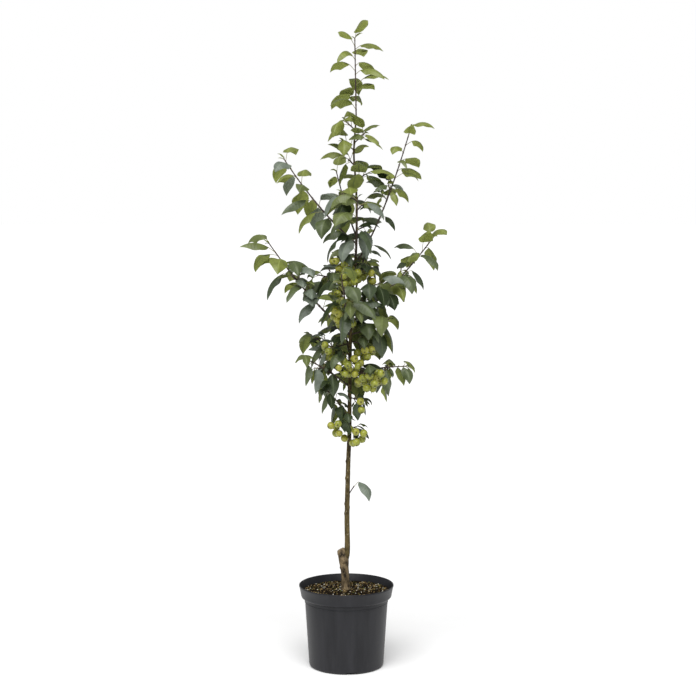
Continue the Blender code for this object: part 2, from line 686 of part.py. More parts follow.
def build_trunk(parts, cutters):
    """Rootstock stub and scion joined in one solid, with a swollen copy that trims the limbs."""
    trunk = tube("trunk", *limb_line(ROOTSTOCK), parts)
    scion = tube("scion", *limb_line(SCION), cutters)
    boolean(trunk, "UNION", scion)
    mesh = applied_mesh(trunk)
    trunk.modifiers.clear()
    trunk.data = mesh
    bpy.data.objects.remove(scion)
    finish_piece(trunk, make_material("bark", (0.17, 0.13, 0.085), 0.85))
    points, radii = limb_line(SCION)
    clearance = tube("trunk_clearance", points, [radius + GAP for radius in radii], cutters)
    hide_helper(clearance)
    return clearance


def build_bough(shoot, parts, clearance, material):
    """Bare lower stretch of a shoot, its foot trimmed to sit against the trunk."""
    points, radii = bough_line(shoot)
    name = "bough_" + shoot.name
    bough = tube(name, points, radii, parts, resolution=BOUGH_BEVEL_RESOLUTION)
    boolean(bough, "DIFFERENCE", clearance)
    finish_piece(bough, material)


def stem_of(shoot, parts, clearance, profile):
    """Stem of a mass: on from the end of its bough, or out of the side or the top of the trunk."""
    ends_limb = shoot.bare or shoot.height >= SCION[-1].height
    kind = "spray_" if ends_limb else "spur_"
    stem = tube(kind + shoot.name, *stem_line(shoot), parts, profile)
    if not ends_limb:
        boolean(stem, "DIFFERENCE", clearance)
        mesh = applied_mesh(stem)
        stem.modifiers.clear()
        stem.data = mesh
    return stem


def build_mass(shoot, fruits, leaves, parts, clearance, profile, material):
    """One mass of foliage: its stem, stalks, leaves and fruits fused by one Boolean union."""
    stem = stem_of(shoot, parts, clearance, profile)
    pieces = bpy.data.collections.new(shoot.name + "_pieces")
    bpy.context.scene.collection.children.link(pieces)
    for i, leaf in enumerate(leaves):
        mesh = bpy.data.meshes.new(f"leaf_{i + 1}")
        corners, faces = leaf_skin(leaf)
        mesh.from_pydata(corners, [], faces)
        add_mesh(mesh.name, mesh, pieces)
    for i, fruit in enumerate(fruits):
        way = (fruit.centre - fruit.root).normalized()
        end = fruit.centre - way * (fruit.radius - STALK_SINK)
        tube(f"stalk_{i + 1}", [fruit.root, end], [PEDICEL_RADIUS] * 2, pieces, profile)
        ball = bmesh.new()
        bmesh.ops.create_uvsphere(
            ball, u_segments=FRUIT_SEGMENTS, v_segments=FRUIT_RINGS, radius=fruit.radius
        )
        mesh = bpy.data.meshes.new(f"fruit_{i + 1}")
        ball.to_mesh(mesh)
        ball.free()
        add_mesh(mesh.name, mesh, pieces).location = fruit.centre
    for piece in pieces.objects:
        face_outwards(piece.data)
    for solver in ("EXACT", "MANIFOLD"):
        boolean(stem, "UNION", pieces, solver)
        mesh = applied_mesh(stem)
        stem.modifiers.clear()
        if keep_one_body(mesh):
            break
    stem.data = mesh
    for piece in list(pieces.objects):
        bpy.data.objects.remove(piece)
    bpy.data.collections.remove(pieces)
    finish_piece(stem, material)


def keep_one_body(mesh):
    """Drop loose scraps and fill sealed hollows, and tell whether the one body left is closed."""
    shape = bmesh.new()
    shape.from_mesh(mesh)
    left = set(shape.faces)
    bodies = []
    while left:
        body = set()
        edge_of_search = [left.pop()]
        while edge_of_search:
            face = edge_of_search.pop()
            body.add(face)
            for edge in face.edges:
                for other in edge.link_faces:
                    if other in left:
                        left.discard(other)
                        edge_of_search.append(other)
        bodies.append(body)
    bodies.sort(key=len)
    scraps = [face for body in bodies[:-1] for face in body]
    bmesh.ops.delete(shape, geom=scraps, context="FACES")
    closed = all(edge.is_manifold for edge in shape.edges)
    shape.to_mesh(mesh)
    shape.free()
    return closed


def face_outwards(mesh):
    """Turn a closed mesh's faces outwards."""
    shape = bmesh.new()
    shape.from_mesh(mesh)
    bmesh.ops.recalc_face_normals(shape, faces=shape.faces)
    shape.to_mesh(mesh)
    shape.free()


def build():
    """Model the whole plant in its pot."""
    for piece in list(bpy.data.objects):
        bpy.data.objects.remove(piece)
    parts = bpy.data.collections.new("Potted_Crabapple")
    cutters = bpy.data.collections.new("Cutters_And_Guides")
    for collection in (parts, cutters):
        bpy.context.scene.collection.children.link(collection)
    build_pot(parts, cutters)
    build_soil(parts)
    clearance = build_trunk(parts, cutters)
    profile = triangle_profile(cutters)
    shoot_bark = make_material("young_bark", (0.11, 0.07, 0.05), 0.7)
    foliage = make_material("foliage", (0.10, 0.17, 0.045), 0.5)
    taken = [limb_tree()]
    for shoot in SHOOTS:
        if shoot.bare:
            build_bough(shoot, parts, clearance, shoot_bark)
        fruits, leaves = grow(shoot, taken + [other_stems(shoot)])
        taken.append(mass_tree(shoot, fruits, leaves))
        build_mass(shoot, fruits, leaves, parts, clearance, profile, foliage)


build()
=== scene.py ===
"""Looks of a potted crabapple: a young feathered tree with green fruit in a plastic nursery pot.

Units are metres and +Z is up, in the frame of the part. +X is to the viewer's right and -Y is
towards the viewer. A bearing is measured in degrees from +X towards +Y, so 270 points at the
viewer. The crown grows by the same seeded rule as the solids, and goes on to finer twigs.
"""

import random
from collections import namedtuple
from math import asin, atan2, cos, exp, hypot, pi, radians, sin, sqrt

import bmesh
import bpy
import numpy as np
from mathutils import Matrix, Vector, noise
from mathutils.bvhtree import BVHTree


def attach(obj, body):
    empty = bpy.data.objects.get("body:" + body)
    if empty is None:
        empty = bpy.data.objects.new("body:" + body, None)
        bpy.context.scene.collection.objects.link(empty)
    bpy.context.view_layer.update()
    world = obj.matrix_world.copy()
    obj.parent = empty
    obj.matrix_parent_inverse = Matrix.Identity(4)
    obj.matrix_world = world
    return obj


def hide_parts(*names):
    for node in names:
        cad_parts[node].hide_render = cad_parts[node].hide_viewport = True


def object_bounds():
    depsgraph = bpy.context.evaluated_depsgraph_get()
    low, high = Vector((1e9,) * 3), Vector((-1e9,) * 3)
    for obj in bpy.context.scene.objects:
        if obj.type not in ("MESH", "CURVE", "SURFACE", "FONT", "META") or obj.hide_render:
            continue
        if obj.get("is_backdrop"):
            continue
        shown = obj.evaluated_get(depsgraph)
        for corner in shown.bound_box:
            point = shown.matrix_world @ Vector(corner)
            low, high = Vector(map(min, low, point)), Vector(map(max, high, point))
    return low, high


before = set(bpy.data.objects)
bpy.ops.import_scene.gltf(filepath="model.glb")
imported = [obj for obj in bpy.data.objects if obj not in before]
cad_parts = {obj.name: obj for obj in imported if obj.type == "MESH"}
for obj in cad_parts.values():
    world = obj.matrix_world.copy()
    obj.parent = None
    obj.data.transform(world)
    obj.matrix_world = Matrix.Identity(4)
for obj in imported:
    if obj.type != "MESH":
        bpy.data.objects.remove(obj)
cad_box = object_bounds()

# Pot
POT_HEIGHT = 0.243
RIM_RADIUS = 0.140
SKIRT_RADIUS = 0.1340
SKIRT_DEPTH = 0.031
SKIRT_TUCK = 0.0085
BODY_TOP_RADIUS = 0.1232
FOOT_RADIUS = 0.1106
FOOT_BEVEL = 0.0085
WALL = 0.0026
FLOOR = 0.0032
RIM_ROUND = 0.0016
POT_SEGMENTS = 160
CORNER_STEPS = 7
LINE_HEIGHT = 0.1925
DRAIN_CUTTER = (0.026, 0.034, 0.0116)
DRAIN_COUNT = 4
FIRST_DRAIN_BEARING = 279.5

# Compost
SOIL_EDGE_HEIGHT = 0.2215
SOIL_CROWN_HEIGHT = 0.2290
SOIL_FLAT_RADIUS = 0.024
SOIL_RINGS = 60
CRUMBS = 2400

# The rule of growth, as in the solids
GAP = 0.0003
GUARD = 0.0005
SPACE_RADIUS = 0.120
STEM_TIP_RADIUS = 0.0015
PETIOLE_RADIUS = 0.0010
PEDICEL_RADIUS = 0.0009
LEAF_THICKNESS = 0.0014
LEAF_WIDTH = 0.60
LEAF_RINGS = (0.30, 0.68)
FRUIT_RADIUS = 0.0116
FRUIT_SEGMENTS = 5
FRUIT_RINGS = 4
GOLDEN_ANGLE = radians(137.5)
TRIANGLE_SWELL = 1.25
BOUGH_START = 0.25
BOUGH_STEPS = 3
LIMB_SIDES = 8
COLLAR_SWELL = 0.25
COLLAR_LENGTH = 0.008
STEM_STEP = 0.036
STEM_LEAST_STEPS = 3
LEAF_TRIES = 12
FRUIT_TRIES = 90

# The fine leaf: columns over its upper side and back under it, as shares of its half width
UPPER_COLUMNS = (1.0, 0.70, 0.38, 0.05, 0.0, -0.05, -0.38, -0.70, -1.0)
LOWER_COLUMNS = UPPER_COLUMNS[-2:0:-1]
RIB_SHARE = 0.05
LEAF_ROWS = 28
SMALL_LEAF_ROWS = 19
BLADE_THICKNESS = 0.00045
VEIN_LEAN = 0.10
VEIN_SPACING = 3
VEIN_RELIEF = 0.00065
TOOTH = 0.030

# Radii of a leaf's and a fruit's stalk, from the twig outwards
PETIOLE_RADII = (0.0011, 0.0009, 0.0008, 0.0008, 0.0008, 0.00085, 0.0009, 0.0006)
PEDICEL_RADII = (0.0012, 0.0009, 0.0009, 0.0010)

# Side twigs finer than the solids have
TWIG_SPACING = 0.0022
SIDE_TWIG_TRIES = 5
SIDE_LEAVES = 3
HEART_FOOT = 0.60
HEART_TOP = 1.20
TIP_LEAVES = 3
TIP_LEAF_LENGTH = 0.022

# Shades of the leaves: shares of grey and of dark ones below the leader
LEADER_FOOT = 1.50
GREY_SHARE = 0.11
DARK_SHARE = 0.22

# Light and camera
PHOTO_WIDTH = 696
CAMERA_FOCAL_PIXELS = 1543.97
CAMERA_PLACE = (0.0049, -4.5, 1.33263)
CAMERA_PITCH = radians(4.9196)
FLOOR_WIDTH = 400
AMBIENT = 0.38
KEY_STRENGTH = 3.3
KEY_ANGLE = radians(56)
KEY_WAY = (0.09, 0.70, -0.95)

# Finishes: name, dark and light colour, patches to the metre, range of roughness, scale and depth
# of the relief, specular level, stretch of the pattern, and scale, size and colour of flecks
ALONG = (1, 1, 0.4)
BLOOM = 0.34
FLOOR_FINISH = ("pale_floor", (0.93,) * 3, (0.96,) * 3, 3, (0.9, 1.0), (40, 0.0002), 0.1)
FINISHES = {
    "stalks": (
        ("petiole", (0.16, 0.15, 0.05), (0.26, 0.24, 0.09), 60, (0.4, 0.55), (900, 0.0001)),
        ("pedicel", (0.15, 0.13, 0.04), (0.24, 0.24, 0.07), 60, (0.4, 0.55), (900, 0.0001)),
    ),
    "twigs": (
        ("twig_bark", (0.022, 0.013, 0.010), (0.078, 0.048, 0.034), 70, (0.45, 0.65),
         (400, 0.0003), 0.4, ALONG, (420, 0.12, (0.17, 0.13, 0.10))),
        ("bud_scale", (0.075, 0.035, 0.025), (0.14, 0.075, 0.05), 200, (0.4, 0.6), (900, 0.0002)),
    ),
    "fruits": (
        ("fruit_green", (0.148, 0.174, 0.010), (0.335, 0.350, 0.034), 60, (0.27, 0.42),
         (500, 0.0002), 0.6, (1, 1, 1), (650, 0.14, (0.40, 0.42, 0.16))),
        ("fruit_yellowing", (0.202, 0.208, 0.013), (0.390, 0.380, 0.042), 60, (0.27, 0.42),
         (500, 0.0002), 0.6, (1, 1, 1), (650, 0.14, (0.46, 0.46, 0.19))),
        ("calyx", (0.030, 0.021, 0.012), (0.075, 0.055, 0.032), 400, (0.7, 0.85), (900, 0.0003)),
    ),
    "trunk": (
        ("scion_bark", (0.009, 0.006, 0.002), (0.136, 0.101, 0.039), 105, (0.70, 0.90),
         (420, 0.0012), 0.20, ALONG, (150, 0.16, (0.30, 0.26, 0.17))),
        ("root_bark", (0.008, 0.005, 0.002), (0.252, 0.185, 0.102), 110, (0.70, 0.90),
         (420, 0.0014), 0.25, ALONG, (210, 0.16, (0.03, 0.022, 0.014))),
        ("sawn_wood", (0.15, 0.11, 0.065), (0.28, 0.21, 0.13), 240, (0.7, 0.85), (700, 0.0005)),
    ),
    "pot": (
        # Noise stretched upright gives lighter and darker streaks: painted reflections of the studio
        ("moulded_plastic", (0.0070, 0.0072, 0.0092), (0.0170, 0.0172, 0.0206), 34, (0.36, 0.52),
         (1500, 0.00010), 0.32, (1, 1, 0.10), (900, 0.04, (0.055, 0.055, 0.058))),
    ),
}

# Shades of leaf: colours of the upper side, the midrib and the under side, and the gloss above.
# The first five rows grow darker: partly the leaves' own age and green, partly painted light
# on the outer leaves and painted shade in the heart of the crown. shaded_leaf has little gloss,
# as painted shade that reflects no sky. Every under side is paler and yellow-green: its own
# paler colour with painted light shining through the leaf.
LEAF_SHADES = (
    ("young_leaf", (0.165, 0.195, 0.036), (0.24, 0.28, 0.08), (0.300, 0.345, 0.085), 0.55),
    ("olive_leaf", (0.106, 0.132, 0.032), (0.17, 0.21, 0.07), (0.275, 0.320, 0.082), 0.60),
    ("leaf", (0.066, 0.090, 0.030), (0.12, 0.15, 0.06), (0.240, 0.285, 0.074), 0.65),
    ("deep_leaf", (0.043, 0.063, 0.026), (0.09, 0.12, 0.05), (0.200, 0.240, 0.062), 0.55),
    ("shaded_leaf", (0.024, 0.036, 0.013), (0.06, 0.08, 0.03), (0.125, 0.152, 0.036), 0.15),
    ("grey_leaf", (0.130, 0.158, 0.120), (0.20, 0.24, 0.17), (0.235, 0.275, 0.200), 0.60),
)

# Compost and its kinds of crumb: dark and light colour, grain and depth of relief
COMPOST_FINISHES = (
    ("compost_base", (0.003, 0.0022, 0.0014), (0.020, 0.0135, 0.008), 260, 0.0015),
    ("peat", (0.003, 0.002, 0.001), (0.022, 0.0140, 0.007), 500, 0.001),
    ("fibre", (0.040, 0.026, 0.010), (0.120, 0.082, 0.034), 500, 0.001),
    ("bark_chip", (0.180, 0.120, 0.045), (0.440, 0.320, 0.150), 400, 0.001),
    ("grit", (0.40, 0.38, 0.31), (0.72, 0.69, 0.60), 400, 0.0006),
    ("moss", (0.050, 0.058, 0.010), (0.140, 0.150, 0.036), 500, 0.001),
)
CRUMB_WEIGHTS = (54, 16, 16, 6, 8)
CHIP_KIND = 2
CRUMB_LEAST_RADIUS = 0.017

# Trunk, as stations up its middle line: the scion rises beside the cut stub of its rootstock
Station = namedtuple("Station", "height right away diameter")
ROOTSTOCK = [Station(*row) for row in (
    (SOIL_CROWN_HEIGHT + GAP, -0.0015, 0.000, 0.0300), (0.2370, -0.0015, 0.000, 0.0250),
    (0.2620, -0.0025, 0.000, 0.0228), (0.2950, -0.0060, 0.000, 0.0250),
    (0.3180, -0.0085, 0.001, 0.0300), (0.3380, -0.0130, 0.001, 0.0262),
    (0.3530, -0.0175, 0.001, 0.0180),
)]
SCION = [Station(*row) for row in (
    (0.3060, -0.0050, 0.000, 0.0170), (0.3320, 0.0005, 0.000, 0.0185),
    (0.3620, 0.0030, 0.000, 0.0162), (0.4400, 0.0020, 0.002, 0.0150),
    (0.5700, 0.0045, 0.003, 0.0136), (0.7000, 0.0090, 0.000, 0.0122),
    (0.8500, 0.0100, -0.003, 0.0108), (1.0000, 0.0130, -0.001, 0.0094),
    (1.1200, 0.0185, 0.002, 0.0082), (1.2400, 0.0290, 0.003, 0.0070),
    (1.4000, 0.0290, 0.000, 0.0060), (1.5100, 0.0220, -0.002, 0.0052),
    (1.6150, 0.0285, 0.000, 0.0045),
)]
STATION_STEPS = 2

# Shoots. Each leaves the trunk at a height, on a bearing, and ends after a reach outwards and a
# rise. Its middle is bowed down. A bare share of it is a bough, and the rest carries leaves. The
# seeds of its flushes of leaves come last.
Shoot = namedtuple(
    "Shoot",
    "name height bearing reach rise bow bare thickness leaves leaf_length droop fruits seeds",
)
SHOOTS = [Shoot(*row[:12], row[12:]) for row in (
    ("left_low", 0.983, 192, 0.238, 0.266, 0.018, 0.32, 0.0072, 16, 0.088, 0.4, 0,
     124, 55, 56, 27, 105, 125, 79, 82),
    ("left_high", 1.25, 167, 0.216, 0.244, 0.018, 0.28, 0.0058, 16, 0.086, 0.4, 0,
     86, 19, 288, 316, 284, 194, 154, 115),
    ("right_high", 1.188, 339, 0.17, 0.392, 0.04, 0.44, 0.0058, 15, 0.074, 0.35, 0,
     88, 127, 67, 78, 137, 76, 60, 120),
    ("right_mid", 1.022, 15, 0.252, 0.246, 0.019, 0.3, 0.0072, 17, 0.086, 0.5, 0,
     319, 299, 49, 318, 97, 11, 219, 87),
    ("right_heart", 0.985, 352, 0.11, 0.045, 0.004, 0.25, 0.0052, 7, 0.084, 0.7, 0, 236, 146),
    ("left_heart", 1.14, 188, 0.118, 0.022, 0, 0.3, 0.005, 6, 0.078, 0.55, 0, 190, 228),
    ("left_inner", 0.925, 157, 0.128, 0.055, 0.004, 0.3, 0.0054, 7, 0.076, 0.6, 0, 185, 20),
    ("left_skirt", 0.831, 200, 0.145, 0.09, -0.008, 0.3, 0.0056, 8, 0.07, 0.8, 0, 43, 62),
    ("right_skirt", 0.866, 10, 0.165, 0.023, -0.006, 0.4, 0.0052, 6, 0.074, 0.8, 0, 43, 271),
    ("front_low", 0.995, 262, 0.19, 0.17, 0.012, 0.34, 0.0062, 9, 0.084, 0.6, 0, 184, 215),
    ("front_high", 1.21, 272, 0.14, 0.17, 0.012, 0.32, 0.0056, 8, 0.08, 0.5, 0, 12, 55),
    ("back_low", 0.915, 97, 0.225, 0.18, 0.014, 0.34, 0.0068, 10, 0.084, 0.6, 0, 134, 66),
    ("back_mid", 1.085, 74, 0.19, 0.19, 0.014, 0.34, 0.0062, 9, 0.082, 0.55, 0, 208, 63),
    ("back_high", 1.27, 115, 0.14, 0.19, 0.012, 0.34, 0.0056, 8, 0.08, 0.45, 0, 256, 141),
    ("right_inner", 1.112, 333, 0.088, 0.025, 0.004, 0, 0.0046, 6, 0.078, 0.6, 0, 13),
    ("left_base", 0.733, 209, 0.081, 0.099, -0.006, 0, 0.0046, 7, 0.068, 0.95, 0, 165, 6),
    ("cluster_front", 0.922, 264, 0.054, -0.012, 0, 0, 0.0042, 4, 0.078, 0.8, 13, 254),
    ("cluster_right", 0.884, 319, 0.086, -0.014, 0, 0, 0.0046, 4, 0.076, 0.8, 14, 156),
    ("low_left", 0.735, 229, 0.046, 0, 0, 0, 0.004, 4, 0.064, 0.7, 6, 137),
    ("low_right", 0.722, 292, 0.034, -0.014, 0, 0, 0.004, 3, 0.052, 0.7, 6, 203),
    ("right_small", 0.8, 318, 0.036, -0.004, 0, 0, 0.0038, 2, 0.052, 0.7, 3, 168),
    ("mid_right", 0.965, 333, 0.05, -0.006, 0, 0, 0.0042, 5, 0.084, 0.8, 6, 18),
    ("mid_left", 0.96, 203, 0.052, -0.012, 0, 0, 0.0042, 5, 0.082, 0.8, 7, 412),
    ("heart_front", 1.05, 244, 0.047, 0.002, 0, 0, 0.004, 4, 0.084, 0.8, 7, 69),
    ("heart_left", 1.106, 222, 0.042, -0.004, 0, 0, 0.004, 3, 0.078, 0.8, 6, 295),
    ("upper_front", 1.155, 248, 0.045, 0.002, 0, 0, 0.004, 4, 0.082, 0.75, 6, 258),
    ("upper_left", 1.2, 216, 0.046, 0.002, 0, 0, 0.004, 5, 0.08, 0.7, 6, 359),
    ("upper_right", 1.17, 322, 0.036, 0.004, 0, 0, 0.004, 4, 0.076, 0.7, 5, 234),
    ("heart_back", 1.000, 85, 0.052, 0.006, 0, 0, 0.0042, 6, 0.082, 0.75, 3, 211),
    ("heart_right", 1.075, 20, 0.048, 0.01, 0, 0, 0.004, 5, 0.082, 0.7, 0, 261),
    ("low_back", 0.85, 80, 0.06, 0.01, 0, 0, 0.0042, 5, 0.078, 0.8, 2, 189),
    ("upper_back", 1.165, 112, 0.046, 0.012, 0, 0, 0.004, 5, 0.08, 0.65, 2, 188),
    ("neck_left", 1.262, 222, 0.042, 0.012, 0, 0, 0.0038, 5, 0.084, 0.6, 0, 250),
    ("neck_right", 1.29, 330, 0.03, 0.01, 0, 0, 0.0036, 3, 0.08, 0.9, 0, 184),
    ("neck_back", 1.345, 65, 0.036, 0.016, 0, 0, 0.0036, 4, 0.078, 0.55, 0, 284),
    ("shoulder_left", 1.375, 205, 0.04, 0.016, 0, 0, 0.0036, 5, 0.086, 0.5, 0, 205),
    ("shoulder_front", 1.43, 320, 0.032, 0.018, 0, 0, 0.0034, 5, 0.084, 0.5, 0, 14),
    ("shoulder_back", 1.475, 118, 0.034, 0.018, 0, 0, 0.0034, 5, 0.084, 0.45, 0, 9),
    ("collar_left", 1.52, 200, 0.028, 0.02, 0, 0, 0.0032, 4, 0.088, 0.45, 0, 259),
    ("collar_right", 1.54, 338, 0.03, 0.026, 0, 0, 0.0032, 5, 0.084, 0.3, 0, 224),
    ("leader", 1.615, 180, 0.004, 0.222, 0, 0, 0.004, 15, 0.088, 0.35, 0,
     13, 76, 44, 143, 20, 22, 12, 111),
    ("crown_left", 1.578, 190, 0.026, 0.022, 0, 0, 0.0032, 4, 0.08, 0.45, 0, 255),
    ("foot_shoot", 0.505, 335, 0.02, 0.03, 0, 0, 0.0034, 1, 0.08, 1.3, 0, 315),
)]

# Knots in the bark: scars of cut twigs and rings of the scion, and callus round the graft
Knot = namedtuple("Knot", "height bearing swell size")
SCARS = [Knot(*row) for row in (
    (0.402, 262, 0.0022, 0.0050), (0.455, 185, 0.0018, 0.0045), (0.472, 20, 0.0016, 0.0045),
    (0.484, 190, 0.0020, 0.0040), (0.528, 250, 0.0018, 0.0045), (0.560, 195, 0.0020, 0.0042),
    (0.575, 300, 0.0022, 0.0050), (0.610, 178, 0.0019, 0.0042), (0.640, 262, 0.0018, 0.0045),
    (0.668, 345, 0.0017, 0.0042), (0.690, 95, 0.0016, 0.0045),
)]
RING_SCARS = [Knot(0.860, 270, 0.0007, 0.004), Knot(1.110, 230, 0.0007, 0.004)]
CALLUS = [Knot(*row) for row in (
    (0.316, 282, 0.0036, 0.0060), (0.306, 268, -0.0030, 0.0038), (0.296, 276, 0.0026, 0.0060),
    (0.334, 236, 0.0024, 0.0045), (0.326, 258, -0.0020, 0.0035), (0.292, 190, 0.0022, 0.0045),
    (0.254, 235, 0.0016, 0.0060), (0.270, 320, 0.0016, 0.0055),
)]

Leaf = namedtuple("Leaf", "root bearing lift petiole rise curl length width roll fold")
Fruit = namedtuple("Fruit", "root centre radius")


def station_at(stations, height):
    """Smooth station at a height, on a cubic whose slopes come from its neighbours."""
    last = len(stations) - 1
    low = sum(station.height <= height for station in stations[1:-1])
    ends = stations[low], stations[low + 1]
    span = ends[1].height - ends[0].height
    t = min(max((height - ends[0].height) / span, 0.0), 1.0)
    values = []
    for field in range(1, len(Station._fields)):
        slopes = []
        for i in (low, low + 1):
            before, after = stations[max(i - 1, 0)], stations[min(i + 1, last)]
            slopes.append((after[field] - before[field]) / (after.height - before.height))
        values.append(
            ends[0][field] * (1 + 2 * t) * (1 - t) ** 2
            + ends[1][field] * t * t * (3 - 2 * t)
            + span * (slopes[0] * t * (1 - t) ** 2 - slopes[1] * t * t * (1 - t))
        )
    return Station(height, *values)


def limb_line(stations):
    """Middle line of a trunk piece as points, and its radii."""
    points, radii = [], []
    for low, high in zip(stations, stations[1:]):
        for step in range(STATION_STEPS + (high is stations[-1])):
            height = low.height + (high.height - low.height) * step / STATION_STEPS
            station = station_at(stations, height)
            points.append(Vector((station.right, station.away, station.height)))
            radii.append(station.diameter / 2)
    return points, radii


def shoot_point(shoot, t):
    """Point of a shoot's middle line at a share of its way."""
    foot = station_at(SCION, shoot.height)
    start = Vector((foot.right, foot.away, foot.height))
    out = radians(shoot.bearing)
    tip = start + Vector((shoot.reach * cos(out), shoot.reach * sin(out), shoot.rise))
    middle = (start + tip) / 2 - Vector((0, 0, 2 * shoot.bow))
    return start * (1 - t) ** 2 + middle * (2 * t * (1 - t)) + tip * (t * t)


def shoot_radius(shoot, t):
    """Radius of a shoot, which swells into a collar at the trunk."""
    plain = shoot.thickness / 2 * (1 - t) + STEM_TIP_RADIUS * t
    way_out = t * hypot(shoot.reach, shoot.rise)
    return plain * (1 + COLLAR_SWELL * exp(-way_out / COLLAR_LENGTH))


def shoot_line(shoot, first, last, steps):
    """Points and radii of a stretch of a shoot."""
    shares = [first + (last - first) * i / steps for i in range(steps + 1)]
    return [shoot_point(shoot, t) for t in shares], [shoot_radius(shoot, t) for t in shares]


def bough_line(shoot):
    """Points and radii of a shoot's bare stretch, from a foot sunk in the trunk."""
    way = hypot(shoot.reach, shoot.rise)
    foot = BOUGH_START * station_at(SCION, shoot.height).diameter / way
    return shoot_line(shoot, foot, shoot.bare, BOUGH_STEPS)


def stem_line(shoot):
    """Points and radii of a mass's stem, past its bough or the trunk's tip, or from the trunk."""
    way = hypot(shoot.reach, shoot.rise)
    ends_limb = shoot.bare or shoot.height >= SCION[-1].height
    first = shoot.bare + GAP / way if ends_limb else 0.0
    return shoot_line(shoot, first, 1.0, max(STEM_LEAST_STEPS, round(way * (1 - first) / STEM_STEP)))


def stem_skin(shoot, swell):
    """Skin round a mass's three-sided stem."""
    points, radii = stem_line(shoot)
    return tube_skin(points, [radius * TRIANGLE_SWELL for radius in radii], swell)


def slanted(level, slope):
    """Direction that climbs from a level one at a slope."""
    return level * cos(slope) + Vector((0, 0, sin(slope)))


def leaf_section(leaf, s):
    """Point of a leaf's midrib at a share of its blade, with its side and upper directions."""
    level = Vector((cos(leaf.bearing), sin(leaf.bearing), 0))
    across = Vector((-level.y, level.x, 0))
    slope = leaf.rise - leaf.curl * s
    bend = leaf.length / leaf.curl
    point = leaf.root + slanted(level, leaf.lift) * leaf.petiole
    point = point + level * (bend * (sin(leaf.rise) - sin(slope)))
    point = point + Vector((0, 0, bend * (cos(slope) - cos(leaf.rise))))
    along = slanted(level, slope)
    roll = leaf.roll * min(1.0, s / LEAF_RINGS[0])
    side = across * cos(roll) + along.cross(across) * sin(roll)
    return point, side, along.cross(side)


def leaf_half_width(leaf, s):
    """Half the blade's width at a share of its length."""
    return leaf.width / 2 * 2.88 * s**0.6 * (1 - s)


def leaf_skin(leaf, swell=0.0, blade_only=False):
    """Corners and faces of a leaf: a three-sided stalk lofted into a folded blade."""
    stalk = PETIOLE_RADIUS + swell
    base, side, upper = leaf_section(leaf, 0.0)
    corners = [
        centre + side * (stalk * x) + upper * (stalk * y)
        for centre in (leaf.root, base)
        for x, y in ((1, 0.5), (-1, 0.5), (0, -1))
    ]
    for s in LEAF_RINGS:
        point, side, upper = leaf_section(leaf, s)
        half = leaf_half_width(leaf, s) + swell
        thick = LEAF_THICKNESS / 2 + swell
        margin = point - upper * (half * sin(leaf.fold))
        corners += [
            margin + side * (half * cos(leaf.fold)),
            point + upper * thick,
            margin - side * (half * cos(leaf.fold)),
            point - upper * thick,
        ]
    corners.append(leaf_section(leaf, 1.0 + swell / leaf.length)[0])
    faces = [(3, 4, 5)] if blade_only else [(0, 1, 2), (0, 3, 4, 1), (1, 4, 5, 2), (2, 5, 3, 0)]
    faces += [(3, 7, 4), (3, 6, 7), (4, 7, 8), (3, 5, 9, 6), (4, 8, 9, 5)]
    tip = len(corners) - 1
    for i in range(4):
        j = (i + 1) % 4
        faces += [(6 + i, 10 + i, 10 + j, 6 + j), (10 + i, tip, 10 + j)]
    return corners, faces


def spokes(way, angles):
    """Directions across a way, at angles round it."""
    across = way.orthogonal().normalized()
    upper = way.cross(across)
    return [across * cos(angle) + upper * sin(angle) for angle in angles]


def loft_faces(rows, ring):
    """Faces of a closed run of rings, facing outwards where each turns left round its way."""
    faces = [tuple(range(ring - 1, -1, -1))]
    for low in range(0, (rows - 1) * ring, ring):
        for k in range(ring):
            j = (k + 1) % ring
            faces.append((low + k, low + j, low + ring + j, low + ring + k))
    return faces + [tuple(range((rows - 1) * ring, rows * ring))]


def tube_skin(points, radii, swell, sides=6):
    """Corners and faces of an open round tube."""
    angles = [2 * pi * k / sides for k in range(sides)]
    corners = []
    for i, (point, radius) in enumerate(zip(points, radii)):
        along = (points[min(i + 1, len(points) - 1)] - points[max(i - 1, 0)]).normalized()
        corners += [point + out * (radius + swell) for out in spokes(along, angles)]
    return corners, loft_faces(len(points), sides)[1:-1]


def turned(outline, segments, start=0.0):
    """Corners and faces of a solid turned about Z, from pole to pole."""
    angles = start + 2 * pi * np.arange(segments) / segments
    corners = [(0, 0, outline[0][1])]
    for radius, height in outline[1:-1]:
        corners += [(radius * cos(a), radius * sin(a), height) for a in angles]
    corners.append((0, 0, outline[-1][1]))
    end = len(corners) - 1
    faces = []
    for k in range(segments):
        j = (k + 1) % segments
        faces.append((0, 1 + k, 1 + j))
        for low in range(1, end - segments, segments):
            faces.append((low + k, low + segments + k, low + segments + j, low + j))
        faces.append((end - segments + k, end, end - segments + j))
    return corners, faces


def ball_skin(fruit, swell=0.0):
    """Corners and faces of a fruit."""
    radius = fruit.radius + swell
    polars = [pi * i / FRUIT_RINGS for i in range(1, FRUIT_RINGS)]
    outline = [(0, radius)] + [(radius * sin(a), radius * cos(a)) for a in polars] + [(0, -radius)]
    corners, faces = turned(outline, FRUIT_SEGMENTS, pi / 2)
    return [fruit.centre + Vector(corner) for corner in corners], faces


def tree_of(*skins):
    """Search tree of the faces of some skins."""
    corners, faces = [], []
    for more_corners, more_faces in skins:
        faces += [tuple(len(corners) + k for k in face) for face in more_faces]
        corners += more_corners
    return BVHTree.FromPolygons(corners, faces)


def touches(skin, trees):
    """Whether a skin crosses anything in the given search trees."""
    return any(map(tree_of(skin).overlap, trees))


def in_space(shoot, leaf):
    """Whether a leaf's blade stays within the mass's own space round its stem."""
    stem = [shoot_point(shoot, shoot.bare + (1 - shoot.bare) * i / 6) for i in range(7)]
    points = [leaf_section(leaf, s)[0] for s in (0.5, 1.0)]
    return all(min((point - other).length for other in stem) <= SPACE_RADIUS for point in points)


